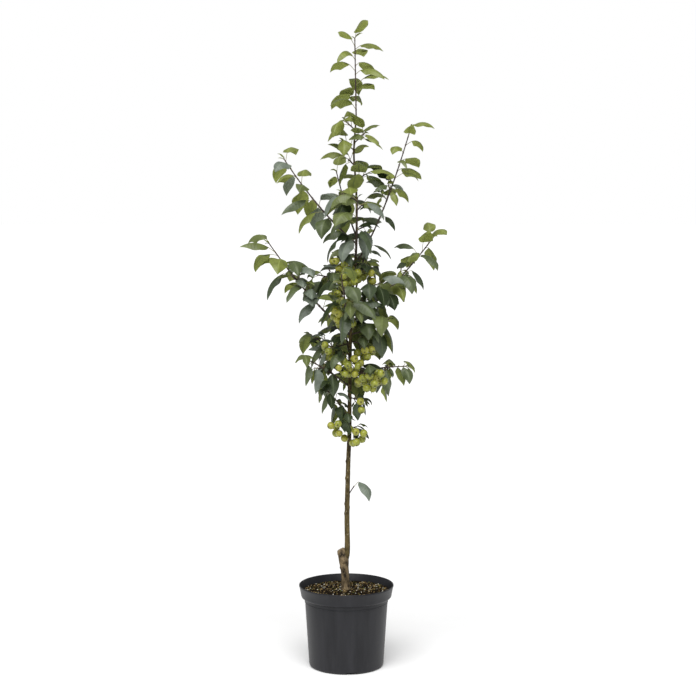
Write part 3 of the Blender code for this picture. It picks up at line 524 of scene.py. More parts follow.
def draw_leaf(root, along, length, droop, draw, turn, at_tip):
    """Draw a leaf from a point of a twig, turned about the twig by a spiral's angle."""
    across = along.cross(Vector((0, 0, 1)))
    across = across.normalized() if across.length > 0.05 else Vector((1, 0, 0))
    upper = across.cross(along)
    turn += draw.uniform(-0.5, 0.5)
    spread = radians(draw.uniform(36, 76)) * (0.45 if at_tip else 1)
    out = along * cos(spread)
    out += (across * cos(turn) + upper * sin(turn)) * sin(spread)
    bearing = atan2(out.y, out.x) + draw.uniform(-0.35, 0.35)
    lift = min(max(asin(max(min(out.z, 1), -1)) + draw.uniform(-0.1, 0.3), -0.45), 1.25)
    rise = lift + 0.2 - droop * draw.uniform(0.3, 1.5)
    curl = min(draw.uniform(1.1, 2.2), max(rise + 1.75, 0.25))
    blade = length * draw.uniform(0.78, 1.12)
    petiole = length * draw.uniform(0.20, 0.36)
    width = blade * LEAF_WIDTH * draw.uniform(0.86, 1.1)
    roll = draw.choice((-1, 1)) * draw.uniform(0.0, 0.55)
    fold = draw.uniform(0.3, 0.8)
    return Leaf(root, bearing, lift, petiole, rise, curl, blade, width, roll, fold)


def shoot_end(shoot, t, back=0.02):
    """Point of a shoot at a share of its way, and its direction there."""
    point = shoot_point(shoot, t)
    return point, (point - shoot_point(shoot, t - back)).normalized()


def leafy_from(shoot):
    """Share of a shoot at which its leaves begin: past its bough, or clear of the trunk."""
    return shoot.bare or min(0.25, 0.010 / hypot(shoot.reach, shoot.rise))


def stalk_skin(fruit, swell):
    """Skin round a fruit's stalk."""
    radius = PEDICEL_RADIUS * TRIANGLE_SWELL
    return tube_skin([fruit.root, fruit.centre], [radius, radius], swell, sides=4)


def grow_fruits(shoot, draw, taken, stem):
    """Hang a mass's fruits on their stalks, in bunches along the outer part of its stem."""
    bunches = max(1, round(shoot.fruits / 5))
    lean = radians(shoot.bearing)
    rest = Vector((0.45 * cos(lean), 0.45 * sin(lean), -0.75))
    fruits = []
    for i in range(shoot.fruits):
        bunch = i * bunches // shoot.fruits
        root = shoot_point(shoot, 1 - 0.55 * (bunches - 1 - bunch) / bunches - 0.02)
        for _ in range(FRUIT_TRIES):
            way = Vector([draw.gauss(0, 1) for _ in range(3)]).normalized() * 0.85 + rest
            way.normalize()
            radius = FRUIT_RADIUS * draw.uniform(0.9, 1.06)
            fruit = Fruit(root, root + way * (draw.uniform(0.016, 0.030) + radius), radius)
            apart = [(other.centre - fruit.centre).length - other.radius for other in fruits]
            clear = min(apart, default=1) >= radius + GAP
            clear = clear and not touches(ball_skin(fruit, GUARD), taken + [stem])
            if clear and not touches(stalk_skin(fruit, GUARD), taken):
                fruits.append(fruit)
                break
    return fruits


def grow(shoot, taken):
    """Fruits and leaves of one mass. What would touch a limb, another mass or a blade is skipped."""
    foot = leafy_from(shoot)
    stem = tree_of(stem_skin(shoot, GUARD))
    fruits = grow_fruits(shoot, random.Random(shoot.seeds[0]), taken, stem)
    own = [stem] + [tree_of(ball_skin(fruit)) for fruit in fruits]
    leaves = []
    for i in range(shoot.leaves):
        flush = i * len(shoot.seeds) // shoot.leaves
        if flush == 0 or flush > (i - 1) * len(shoot.seeds) // shoot.leaves:
            draw = random.Random(100 * shoot.seeds[flush] + flush)
            phase = draw.uniform(0, 2 * pi)
        turn = phase + i * GOLDEN_ANGLE
        latest = foot + (1 - foot) * min(1.0, (i + 1) / shoot.leaves)
        for _ in range(LEAF_TRIES):
            t = latest - 0.03 * draw.random() - 0.004
            size, droop = shoot.leaf_length, shoot.droop
            leaf = draw_leaf(*shoot_end(shoot, t), size, droop, draw, turn, t > 0.985)
            clear = in_space(shoot, leaf) and not touches(leaf_skin(leaf, GUARD), taken)
            if clear and not touches(leaf_skin(leaf, GUARD, blade_only=True), own):
                leaves.append(leaf)
                own.append(tree_of(leaf_skin(leaf, blade_only=True)))
                break
    return fruits, leaves


def mass_tree(shoot, fruits, leaves):
    """Search tree of a grown mass, which the masses after it keep clear of."""
    skins = [stem_skin(shoot, 0.0)]
    for fruit in fruits:
        skins += [ball_skin(fruit), stalk_skin(fruit, 0.0)]
    return tree_of(*skins, *(leaf_skin(leaf) for leaf in leaves))


def limb_tree():
    """Search tree of the trunk and the boughs, which no mass may touch."""
    lines = [limb_line(ROOTSTOCK), limb_line(SCION)]
    lines += [bough_line(shoot) for shoot in SHOOTS if shoot.bare]
    return tree_of(*(tube_skin(*line, GAP, LIMB_SIDES) for line in lines))


def grow_side_twigs(shoot, taken, leaves):
    """Short side twigs of a mass, each with a few small leaves, wherever they have room."""
    draw = random.Random(round(1000 * shoot.height) + shoot.bearing)
    foot = leafy_from(shoot)
    own = [tree_of(leaf_skin(leaf, blade_only=True)) for leaf in leaves]
    twigs, small = [], []
    for _ in range(SIDE_TWIG_TRIES if HEART_FOOT < shoot.height < HEART_TOP else 0):
        t = foot + (1 - foot) * draw.uniform(0.1, 0.95 if shoot.reach < 0.1 else 0.5)
        root, along = shoot_end(shoot, t)
        turn, spread = draw.uniform(0, 2 * pi), draw.uniform(0.6, 1.25)
        way = along * cos(spread) + spokes(along, [turn])[0] * sin(spread)
        length = shoot.leaf_length * draw.uniform(0.18, 0.5)
        tip = root + way * length + Vector((0, 0, 0.12 * length))
        line = [root, root + way * (0.55 * length), tip]
        grown = []
        for k in range(SIDE_LEAVES):
            start = line[1].lerp(tip, k / (SIDE_LEAVES - 1) - 0.01)
            size = shoot.leaf_length * draw.uniform(0.42, 0.78)
            spin, at_tip = turn + k * GOLDEN_ANGLE, k == SIDE_LEAVES - 1
            leaf = draw_leaf(start, way, size, shoot.droop, draw, spin, at_tip)
            if in_space(shoot, leaf) and not touches(leaf_skin(leaf, GUARD), taken + own):
                grown.append(leaf)
                own.append(tree_of(leaf_skin(leaf, blade_only=True)))
        if grown and not touches(tube_skin(line[1:], [0.001] * 2, 0.0), taken):
            twigs.append(line)
            small += grown
    return twigs, small + unfolding_leaves(shoot, draw, taken + own)


def unfolding_leaves(shoot, draw, taken):
    """Tiny upright leaves that open round the tip of a shoot."""
    opening = []
    for k in range(TIP_LEAVES if shoot.reach > 0.1 or shoot.height > HEART_TOP else 0):
        size = TIP_LEAF_LENGTH * draw.uniform(0.6, 1.2)
        tip, way = shoot_end(shoot, 1.0, 0.03)
        leaf = draw_leaf(tip, way, size, 0.1, draw, k * GOLDEN_ANGLE, True)
        leaf = leaf._replace(width=0.36 * size, fold=draw.uniform(0.7, 1.0))
        if not touches(leaf_skin(leaf), taken):
            opening.append(leaf)
    return opening


class Batch:
    """Corners, faces and finishes of many small closed forms that become one piece."""

    def __init__(self, *nodes):
        self.corners, self.faces, self.slots, self.count = [], [], [], 0
        self.nodes = set(nodes)

    def add(self, corners, faces, slots):
        corners = np.asarray(corners, float).reshape(-1, 3)
        self.corners.append(corners)
        self.faces += [tuple(k + self.count for k in face) for face in faces]
        self.slots += [slots] * len(faces) if isinstance(slots, int) else slots
        self.count += len(corners)


def add_object(name, data):
    """New object of the scene."""
    thing = bpy.data.objects.new(name, data)
    bpy.context.scene.collection.objects.link(thing)
    return thing


def add_form(name, batch, materials):
    """New object of a batch's forms."""
    mesh = bpy.data.meshes.new(name)
    mesh.from_pydata(np.concatenate(batch.corners).tolist(), [], batch.faces)
    mesh.polygons.foreach_set("material_index", batch.slots)
    for material in materials:
        mesh.materials.append(material)
    return add_object(name, mesh)


def soften(piece, smooth):
    """Shade a piece as smooth, but for edges sharper than an angle in degrees."""
    piece.data.shade_smooth()
    piece.data.set_sharp_from_angle(angle=radians(smooth))


def add_piece(name, batch, materials, smooth=60):
    """Make one piece of a batch, which rides on the part and stands for its nodes."""
    piece = add_form(name, batch, materials)
    soften(piece, smooth)
    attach(piece, "root")
    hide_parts(*sorted(batch.nodes))
    return piece


def smooth_tube(points, radii, sides):
    """Rings of a round tube whose turn follows its line without a twist."""
    points = np.array([tuple(point) for point in points])
    ways = np.gradient(points, axis=0)
    ways /= np.linalg.norm(ways, axis=1)[:, None]
    across = np.array(Vector(ways[0]).orthogonal().normalized())
    angles = 2 * pi * np.arange(sides) / sides
    rings = []
    for point, way, radius in zip(points, ways, radii):
        across = across - way * np.dot(across, way)
        across /= np.linalg.norm(across)
        out = np.outer(np.cos(angles), across) + np.outer(np.sin(angles), np.cross(way, across))
        rings.append(point + out * radius)
    return rings, loft_faces(len(points), sides)


def blade_rings(leaf, rows, phase):
    """Rings of a leaf's blade, with its sunk midrib, raised veins, wavy halves and toothed margin."""
    v = np.array(UPPER_COLUMNS + LOWER_COLUMNS)[None, :]
    reach = np.abs(v)
    step = np.linspace(0, 1, rows)[:, None]
    row = np.arange(rows)[:, None]
    s = step + VEIN_LEAN * reach * 4 * step * (1 - step)
    level = np.array((cos(leaf.bearing), sin(leaf.bearing), 0))
    level_across = np.array((-level[1], level[0], 0))
    rising = np.array((0, 0, 1.0))
    root = np.array(leaf.root) + leaf.petiole * (level * cos(leaf.lift) + rising * sin(leaf.lift))
    slope = (leaf.rise - leaf.curl * s)[..., None]
    bend = leaf.length / leaf.curl
    centre = root + level * (bend * (sin(leaf.rise) - np.sin(slope)))
    centre = centre + rising * (bend * (np.cos(slope) - cos(leaf.rise)))
    flat_up = rising * np.cos(slope) - level * np.sin(slope)
    ease = np.minimum(1, s / LEAF_RINGS[0])
    roll = (leaf.roll * ease * ease * (3 - 2 * ease))[..., None]
    side = level_across * np.cos(roll) + flat_up * np.sin(roll)
    upper = flat_up * np.cos(roll) - level_across * np.sin(roll)
    half = np.maximum(leaf_half_width(leaf, np.clip(s, 0, 1)), 0.0008 * (1 - 0.7 * s))
    tooth = 1 + TOOTH * (reach == 1) * (2 * (row % 2) - 1) * (step > 0.06) * (step < 0.97)
    out = half * v * cos(leaf.fold) * tooth
    drop = -half * sin(leaf.fold) * reach**1.3
    wave = 0.10 * half * np.sin(2 * pi * (1.5 * s + phase) + 2.1 * (v > 0)) * reach**2
    vein = np.where(row % VEIN_SPACING == 0, -1.0, 0.45) * (step > 0.04) * (step < 0.95)
    relief = VEIN_RELIEF * vein * 4 * reach * (1 - reach) * np.minimum(1, half / 0.012)
    thick = BLADE_THICKNESS / 2 * (1 - reach**4) + 0.0005 * np.exp(-s / 0.035)
    rib = np.clip(1 - reach / RIB_SHARE, 0, 1)
    on_top = np.arange(v.shape[1])[None, :] < len(UPPER_COLUMNS)
    lift = np.where(on_top, thick - 0.0003 * rib, -thick - 0.0011 * rib * (1 - s) ** 0.6)
    height = (drop + wave + relief + lift)[..., None]
    return (centre + side * out[..., None] + upper * height).reshape(-1, 3)


def blade_faces(rows):
    """Triangles of a blade, its two sheets split the same way, and the finish of each.

    0 is the finish of the upper side, 1 of the midrib and 2 of the under side.
    """
    columns = UPPER_COLUMNS + LOWER_COLUMNS
    foot, *quads, tip = loft_faces(rows, len(columns))
    faces, slots = [foot], [1]
    for i, (a, b, c, d) in enumerate(quads):
        k = i % len(columns)
        on_top = k < len(UPPER_COLUMNS) - 1
        on_rib = max(abs(columns[k]), abs(columns[(k + 1) % len(columns)])) <= RIB_SHARE
        faces += [(a, b, c), (a, c, d)] if on_top else [(a, b, d), (b, c, d)]
        slots += [1 if on_rib else (0 if on_top else 2)] * 2
    return faces + [tip], slots + [1]


def petiole_line(leaf, steps=6):
    """Points of a leaf's stalk, which bends from its lift into the slope of its blade."""
    base = leaf_section(leaf, 0.0)[0]
    level = Vector((cos(leaf.bearing), sin(leaf.bearing), 0))
    lifted = leaf.root + slanted(level, leaf.lift) * leaf.petiole * 0.5
    handles = leaf.root, lifted, base - slanted(level, leaf.rise) * leaf.petiole * 0.2, base
    points = []
    for i in range(steps + 1):
        t = i / steps
        weights = (1 - t) ** 3, 3 * t * (1 - t) ** 2, 3 * t * t * (1 - t), t**3
        points.append(sum((handle * w for handle, w in zip(handles, weights)), Vector()))
    return points + [leaf_section(leaf, 0.012)[0]]


def pedicel_line(fruit):
    """Points of a fruit's stalk, which sags a little on its way into the fruit."""
    sag = (fruit.root + fruit.centre) / 2 + Vector((0, 0, -0.0015))
    end = fruit.centre - (fruit.centre - fruit.root).normalized() * fruit.radius * 0.72
    return [fruit.root, fruit.root.lerp(sag, 0.6), sag.lerp(end, 0.4), end]


def fruit_form(fruit, draw):
    """Rings of a fruit from its stalk's hollow to its calyx, with five soft ribs."""
    rows, sides = 15, 22
    way = (fruit.centre - fruit.root).normalized()
    turn = draw.uniform(0, 2 * pi)
    angles = [2 * pi * k / sides for k in range(sides)]
    outs = spokes(way, [angle + turn for angle in angles])
    points = []
    for i in range(rows):
        polar = pi * (0.05 + 0.90 * i / (rows - 1))
        hollow = 0.16 * exp(-((polar / 0.42) ** 2))
        eye = 0.10 * exp(-(((pi - polar) / 0.36) ** 2))
        high = -fruit.radius * cos(polar) * (1 - hollow - eye) * 0.97
        for angle, out in zip(angles, outs):
            rib = 0.012 * cos(5 * angle + turn) * (1 - cos(polar)) / 2
            flat = fruit.radius * sin(polar) * (1 + rib)
            points.append(fruit.centre + out * flat + way * high)
    return points, loft_faces(rows, sides)


def calyx_form(fruit, draw):
    """Five dried sepals round the eye of a fruit, each a thin bent wedge."""
    way = (fruit.centre - fruit.root).normalized()
    faces = [(0, 2, 1), (0, 1, 4, 3), (1, 2, 5, 4), (2, 0, 3, 5), (3, 4, 6), (4, 5, 6), (5, 3, 6)]
    forms = []
    for k in range(5):
        (out,) = spokes(way, [2 * pi * (k + draw.uniform(-0.15, 0.15)) / 5])
        side = way.cross(out)
        length = draw.uniform(0.0028, 0.0038)
        foot = fruit.centre + way * (fruit.radius * 0.84) + out * 0.0008
        middle = foot + out * (0.35 * length) + way * (0.55 * length)
        tip = middle + out * (0.5 * length) + way * (0.12 * length)
        corners = [
            foot - side * 0.0010, foot + side * 0.0010, foot + way * 0.0006,
            middle - side * 0.0008, middle + side * 0.0008, middle + way * 0.0005, tip,
        ]
        forms.append((corners, faces))
    return forms


def twig_form(points, radii, knots, draw, sides):
    """Tube of a twig, swollen where leaves stand on it and closed by a pointed bud."""
    swollen = []
    for point, radius in zip(points, radii):
        near = min(((point - knot).length for knot in knots), default=1)
        swell = 1 + 0.28 * exp(-((near / 0.0026) ** 2)) + draw.uniform(-0.03, 0.03)
        swollen.append(radius * swell)
    way = (points[-1] - points[-2]).normalized()
    bud = ((0.0010, 1.15), (0.0024, 1.25), (0.0040, 0.85), (0.0052, 0.25))
    swollen += [radii[-1] * share for _, share in bud]
    return smooth_tube(points + [points[-1] + way * reach for reach, _ in bud], swollen, sides)


def bud_form(root, way, draw):
    """Small ovoid bud that lies along a twig above a leaf's stalk."""
    tilt = Vector([draw.gauss(0, 0.35) for _ in range(3)])
    way = (way + tilt).normalized()
    line = [root + way * reach for reach in (0.0, 0.0012, 0.0026, 0.0040)]
    return smooth_tube(line, (0.0009, 0.0014, 0.0011, 0.0003), 6)


def tone_of(leaf, draw):
    """Shade of a leaf: 0 for the bright tips to 4 for the dark heart, or 5 for a grey one.

    Lighter out from the trunk and up towards the top, darker in the heart: partly the leaves'
    own age and green, partly painted light and painted shade.
    """
    middle = leaf_section(leaf, 0.5)[0]
    stem = station_at(SCION, min(middle.z, SCION[-1].height))
    out = hypot(middle.x - stem.right, 0.45 * (middle.y - stem.away)) / 0.20
    high = (middle.z - 0.80) / 0.75
    chance = draw.random()
    dulled = middle.z < LEADER_FOOT
    if dulled and chance < GREY_SHARE:
        return 5
    # painted light and shade: lighter with distance out from the trunk and with height
    light = 0.60 * min(out, 1.1) + 0.55 * min(max(high, 0), 1.1) ** 2 + draw.uniform(-0.10, 0.30)
    if dulled and chance < GREY_SHARE + DARK_SHARE:
        light -= 0.42
    return 4 - min(4, max(0, int(light * 5.4)))


def crown_parts():
    """Grow the crown as the solids do, then go on to its finer twigs, mass by mass."""
    taken, masses = [limb_tree()], []
    for shoot in SHOOTS:
        stems = tree_of(*(stem_skin(other, 0.0) for other in SHOOTS if other is not shoot))
        fruits, leaves = grow(shoot, taken + [stems])
        taken.append(mass_tree(shoot, fruits, leaves))
        masses.append((shoot, fruits, leaves))
    for i, (shoot, fruits, leaves) in enumerate(masses):
        others = taken[: i + 1] + taken[i + 2 :] + [tree_of(ball_skin(fruit)) for fruit in fruits]
        twigs, small = grow_side_twigs(shoot, others, leaves)
        taken.append(tree_of(*(leaf_skin(leaf) for leaf in small)))
        yield shoot, fruits, leaves, twigs, small


def build_crown(looks):
    """Leaves, stalks, twigs and fruits of the whole crown, each kind in its own pieces."""
    draw = random.Random(7)
    shades = [Batch() for _ in looks["leaves"]]
    stalks, twigs, apples = Batch(), Batch(), Batch()
    templates = {rows: blade_faces(rows) for rows in (LEAF_ROWS, SMALL_LEAF_ROWS)}
    for shoot, fruits, leaves, side_lines, small in crown_parts():
        on_limb = shoot.bare or shoot.height >= SCION[-1].height
        node = ("spray_" if on_limb else "spur_") + shoot.name
        for k, leaf in enumerate(leaves + small):
            rows = LEAF_ROWS if k < len(leaves) else SMALL_LEAF_ROWS
            batch = shades[tone_of(leaf, draw)]
            batch.add(blade_rings(leaf, rows, draw.random()), *templates[rows])
            batch.nodes.add(node)
            stalks.add(*smooth_tube(petiole_line(leaf), PETIOLE_RADII, 7), 0)
        knots = [leaf.root for leaf in leaves] + [line[0] for line in side_lines]
        first = 0.004 if shoot.height < SCION[-1].height else 0.0
        steps = max(8, round(hypot(shoot.reach, shoot.rise) * (1 - first) / TWIG_SPACING))
        points, radii = shoot_line(shoot, first, 1.0, steps)
        twigs.add(*twig_form(points, radii, knots, draw, 12), 0)
        for knot in knots[: len(leaves)]:
            twigs.add(*bud_form(knot, Vector((0, 0, 1)), draw), 1)
        for start, bend, tip in side_lines:
            points = [start.lerp(bend, i / 4) for i in range(4)]
            points += [bend.lerp(tip, i / 4) for i in range(5)]
            radii = [0.0016 - 0.0006 * i / 8 for i in range(9)]
            twigs.add(*twig_form(points, radii, [bend], draw, 8), 0)
        for fruit in fruits:
            tint = draw.choice((0, 0, 1))
            apples.add(*fruit_form(fruit, draw), tint)
            for corners, faces in calyx_form(fruit, draw):
                apples.add(corners, faces, 2)
            apples.nodes.add(node)
            stalks.add(*smooth_tube(pedicel_line(fruit), PEDICEL_RADII, 7), 1)
        stalks.nodes.add(node)
        twigs.nodes.update([node] + ["bough_" + shoot.name] * bool(shoot.bare))
    for k, batch in enumerate(shades):
        add_piece(f"leaves_{k + 1}", batch, looks["leaves"][k])
    add_piece("leaf_and_fruit_stalks", stalks, looks["stalks"])
    add_piece("boughs_and_twigs", twigs, looks["twigs"])
    add_piece("crab_apples", apples, looks["fruits"])


def bark_tube(stations, sides, step, knots, seed, ribbing, grit):
    """Rings of a trunk piece: its smooth taper with ribs, ripples and knots in the bark."""
    low, high = stations[0].height, stations[-1].height
    angles = 2 * pi * np.arange(sides) / sides
    rings = []
    for height in np.linspace(low, high, round((high - low) / step)):
        station = station_at(stations, height)
        radius = np.full(sides, station.diameter / 2)
        for k, angle in enumerate(angles):
            x, y = cos(angle), sin(angle)
            radius[k] *= 1 + ribbing * noise.noise(Vector((2.2 * x, 2.2 * y, 14 * height + seed)))
            radius[k] += grit * noise.noise(Vector((7 * x, 7 * y, 60 * height + seed)))
        for knot in knots:
            rise = (height - knot.height) / knot.size
            if abs(rise) < 3:
                turn = (angles - radians(knot.bearing) + pi) % (2 * pi) - pi
                width = knot.size / station.diameter * 2
                radius += knot.swell * np.exp(-(rise**2) - (turn / width) ** 2)
        right, away = station.right + radius * np.cos(angles), station.away + radius * np.sin(angles)
        rings.append(np.column_stack((right, away, np.full(sides, height))))
    return rings, loft_faces(len(rings), sides)


def build_trunk(looks):
    """Bark of the rootstock with its slanting cut, and of the scion that rises beside it."""
    collars = [Knot(shoot.height, shoot.bearing, 0.0010, 0.0060) for shoot in SHOOTS]
    bumps = SCARS + collars + RING_SCARS
    scion, root = Batch(), Batch("trunk")
    scion.add(*bark_tube(SCION, 40, 0.0026, bumps, 3.7, 0.07, 0.00030), 0)
    stock = [ROOTSTOCK[0]._replace(height=ROOTSTOCK[0].height - 0.0080)] + ROOTSTOCK
    rings, faces = bark_tube(stock, 60, 0.0016, CALLUS, 9.1, 0.13, 0.00085)
    for ring in rings[-9:]:
        ring[:, 2] -= 0.55 * (rings[-1][:, 0].max() - ring[:, 0]) * (ring[0, 2] > 0.340)
    root.add(rings, faces, [1] * (len(faces) - 1) + [2])
    piece = add_piece("trunk_bark", root, looks, smooth=50)
    cut_with(piece, [add_form("scion", scion, looks)], "UNION", 50)


def cut_with(piece, others, operation, smooth):
    """Apply a Boolean with each of some helpers, which are then removed, and shade it anew."""
    for other in others:
        modifier = piece.modifiers.new("join", "BOOLEAN")
        modifier.operation = operation
        modifier.solver = "EXACT"
        modifier.object = other
        bpy.context.view_layer.update()
        graph = bpy.context.evaluated_depsgraph_get()
        mesh = bpy.data.meshes.new_from_object(piece.evaluated_get(graph))
        piece.modifiers.clear()
        piece.data = mesh
        bpy.data.objects.remove(other)
    soften(piece, smooth)


def arc(start, end):
    """Rounded corner between a point on an upright wall and a point on a level face."""
    turns = [pi / 2 * i / CORNER_STEPS for i in range(CORNER_STEPS + 1)]
    wide, high = start[0] - end[0], end[1] - start[1]
    return [(end[0] + wide * cos(turn), start[1] + high * sin(turn)) for turn in turns]


def inside_line():
    """Inside of the pot's wall, from its rim down to its floor, as radii and heights."""
    ledge = POT_HEIGHT - SKIRT_DEPTH
    return [
        (RIM_RADIUS - WALL, POT_HEIGHT - RIM_ROUND / 2),
        (SKIRT_RADIUS - WALL, ledge),
        (BODY_TOP_RADIUS - WALL, ledge - SKIRT_TUCK),
        (FOOT_RADIUS - WALL, FLOOR + FOOT_BEVEL),
        (FOOT_RADIUS - WALL - FOOT_BEVEL, FLOOR),
    ]


def wall_radius(height):
    """Radius of the pot's outer wall between its foot and its skirt."""
    top = POT_HEIGHT - SKIRT_DEPTH - SKIRT_TUCK
    share = (height - FOOT_BEVEL) / (top - FOOT_BEVEL)
    return FOOT_RADIUS + (BODY_TOP_RADIUS - FOOT_RADIUS) * share


def build_pot(looks):
    """Nursery pot: rounded rim, flared skirt with a soft lower edge, a line round the wall, notches."""
    ledge = POT_HEIGHT - SKIRT_DEPTH
    outline = [(0, FLOOR)] + inside_line()[::-1]
    outline += [
        (RIM_RADIUS - WALL * inward, POT_HEIGHT - RIM_ROUND * down)
        for inward, down in ((0.85, 0.15), (0.60, 0), (0.35, 0.05), (0.10, 0.35), (0, 1))
    ]
    outline += [(RIM_RADIUS, POT_HEIGHT - 0.0042), (RIM_RADIUS - 0.0009, POT_HEIGHT - 0.0050)]
    outline += arc((SKIRT_RADIUS, ledge), (BODY_TOP_RADIUS, ledge - SKIRT_TUCK))
    for rise, proud in ((0.0016, 0.0), (0.0008, 0.0009), (-0.0008, 0.0009), (-0.0016, -0.0004)):
        height = LINE_HEIGHT + rise
        outline.append((wall_radius(height) + proud, height))
    outline += [(wall_radius(height), height) for height in (0.188, 0.150, 0.100, 0.050)]
    outline += arc((FOOT_RADIUS, FOOT_BEVEL), (FOOT_RADIUS - FOOT_BEVEL, 0)) + [(0, 0)]
    pot = Batch("pot")
    pot.add(*turned(outline, POT_SEGMENTS), 0)
    piece = add_piece("nursery_pot", pot, looks, smooth=40)
    cutters = []
    for k in range(DRAIN_COUNT):
        bearing = radians(FIRST_DRAIN_BEARING + 360 * k / DRAIN_COUNT)
        bpy.ops.mesh.primitive_cube_add(size=1)
        cutter = bpy.context.object
        cutter.scale = DRAIN_CUTTER
        cutter.rotation_euler.z = bearing
        cutter.location = (FOOT_RADIUS * cos(bearing), FOOT_RADIUS * sin(bearing), 0)
        bevel = cutter.modifiers.new("soft", "BEVEL")
        bevel.width = 0.0015
        bevel.segments = 3
        cutters.append(cutter)
    cut_with(piece, cutters, "DIFFERENCE", 40)


def soil_height(radius, edge_radius):
    """Height of the compost's mound at a distance from the trunk."""
    t = min(max((radius - SOIL_FLAT_RADIUS) / (edge_radius - SOIL_FLAT_RADIUS), 0), 1)
    fall = (1 - cos(pi * t)) / 2
    return SOIL_CROWN_HEIGHT + (SOIL_EDGE_HEIGHT - SOIL_CROWN_HEIGHT) * fall


def build_soil(looks):
    """Compost with a crumbled surface, strewn with crumbs, bark chips and pale grit."""
    (rim, rim_height), (ledge, ledge_height) = inside_line()[:2]
    share = (SOIL_EDGE_HEIGHT - ledge_height) / (rim_height - ledge_height)
    edge = ledge + (rim - ledge) * share - GAP
    outline = [(0, SOIL_CROWN_HEIGHT)]
    for i in range(1, SOIL_RINGS + 1):
        radius = edge * i / SOIL_RINGS
        outline.append((radius, soil_height(radius, edge)))
    outline += [(radius - GAP, height) for radius, height in inside_line()[1:-1]]
    outline += [(inside_line()[-1][0] - GAP, FLOOR + GAP), (0, FLOOR + GAP)]
    corners, faces = turned(outline[::-1], 180)
    lumpy = []
    for x, y, z in corners:
        if z > SOIL_EDGE_HEIGHT - 0.0001:
            coarse, middling, fine = (
                noise.noise(Vector((scale * x, scale * y, level)))
                for scale, level in ((70, 2.0), (210, 5.0), (620, 9.0))
            )
            z += 0.0022 * coarse + 0.0016 * middling + 0.0009 * fine
        lumpy.append((x, y, z))
    bed = Batch("soil")
    bed.add(lumpy, faces, 0)
    add_piece("compost_bed", bed, looks[:1], smooth=70)
    strew_crumbs(edge, looks)


def strew_crumbs(edge, looks):
    """Crumbs of peat, bark chips and grit, each an uneven twenty-sided lump."""
    draw = random.Random(23)
    lump = bmesh.new()
    bmesh.ops.create_icosphere(lump, subdivisions=1, radius=1)
    shape = np.array([tuple(corner.co) for corner in lump.verts])
    faces = [tuple(corner.index for corner in face.verts) for face in lump.faces]
    lump.free()
    crumbs = Batch("soil")
    for _ in range(CRUMBS):
        radius, angle = (edge - 0.004) * sqrt(draw.random()), draw.uniform(0, 2 * pi)
        if radius < CRUMB_LEAST_RADIUS:
            continue
        kind = draw.choices(range(len(CRUMB_WEIGHTS)), CRUMB_WEIGHTS)[0]
        size = draw.uniform(0.0010, 0.0026) * (1.25 if kind == CHIP_KIND else 1)
        axes = (1.0, draw.uniform(0.6, 1.0), draw.uniform(0.5, 0.9))
        if kind == CHIP_KIND:
            axes = (draw.uniform(1.3, 2.4), draw.uniform(0.45, 0.8), 0.32)
        rough = np.array([draw.uniform(0.78, 1.18) for _ in shape])[:, None]
        turn = Matrix.Rotation(draw.uniform(0, 6.28), 3, "Z")
        turn = turn @ Matrix.Rotation(draw.uniform(-0.5, 0.5), 3, "X")
        corners = (shape * rough * size * np.array(axes)) @ np.array(turn).T
        height = soil_height(radius, edge) + size * axes[2] * 0.55
        place = np.array((radius * cos(angle), radius * sin(angle), height))
        crumbs.add(corners + place, faces, kind)
    add_piece("compost_crumbs", crumbs, looks[1:], smooth=25)


def new_node(tree, kind, source=None, **values):
    """New node with its set values, whose first input is fed from a source where one is given."""
    node = tree.nodes.new("ShaderNode" + kind)
    for key, value in values.items():
        node.inputs[key.replace("_", " ")].default_value = value
    if source is not None:
        tree.links.new(source, node.inputs[0])
    return node


def noise_surface(name, dark, light, grain, rough, bump, specular=0.5, stretch=(1, 1, 1), fleck=None):
    """Finish whose colour, roughness and relief follow noise at the object's own scale."""
    material = bpy.data.materials.new(name)
    material.use_nodes = True
    tree = material.node_tree
    shader = tree.nodes["Principled BSDF"].inputs
    shader["Specular IOR Level"].default_value = specular
    place = new_node(tree, "TexCoord").outputs["Object"]
    place = new_node(tree, "Mapping", place, Scale=stretch).outputs["Vector"]
    tone = new_node(tree, "TexNoise", place, Scale=grain, Detail=6, Roughness=0.6).outputs["Fac"]
    ramp = new_node(tree, "ValToRGB", tone)
    for element, position, end in zip(ramp.color_ramp.elements, (0.32, 0.68), (dark, light)):
        element.position = position
        element.color = (*end, 1)
    colour = ramp.outputs["Color"]
    if fleck:
        colour = flecked(tree, place, colour, *fleck)
    gloss = new_node(tree, "MapRange", tone, To_Min=rough[0], To_Max=rough[1])
    ripple = new_node(tree, "TexNoise", place, Scale=bump[0], Detail=4)
    relief = new_node(tree, "Bump", Distance=bump[1])
    tree.links.new(colour, shader["Base Color"])
    tree.links.new(gloss.outputs["Result"], shader["Roughness"])
    tree.links.new(ripple.outputs["Fac"], relief.inputs["Height"])
    tree.links.new(relief.outputs["Normal"], shader["Normal"])
    return material


def flecked(tree, place, colour, scale, size, fleck):
    """Colour with small round flecks strewn over it."""
    cells = new_node(tree, "TexVoronoi", place, Scale=scale).outputs["Distance"]
    edge = new_node(tree, "MapRange", cells, From_Min=size, From_Max=0.6 * size)
    mix = new_node(tree, "Mix", edge.outputs["Result"])
    mix.data_type = "RGBA"
    mix.inputs["B"].default_value = (*fleck, 1)
    tree.links.new(colour, mix.inputs["A"])
    return mix.outputs["Result"]


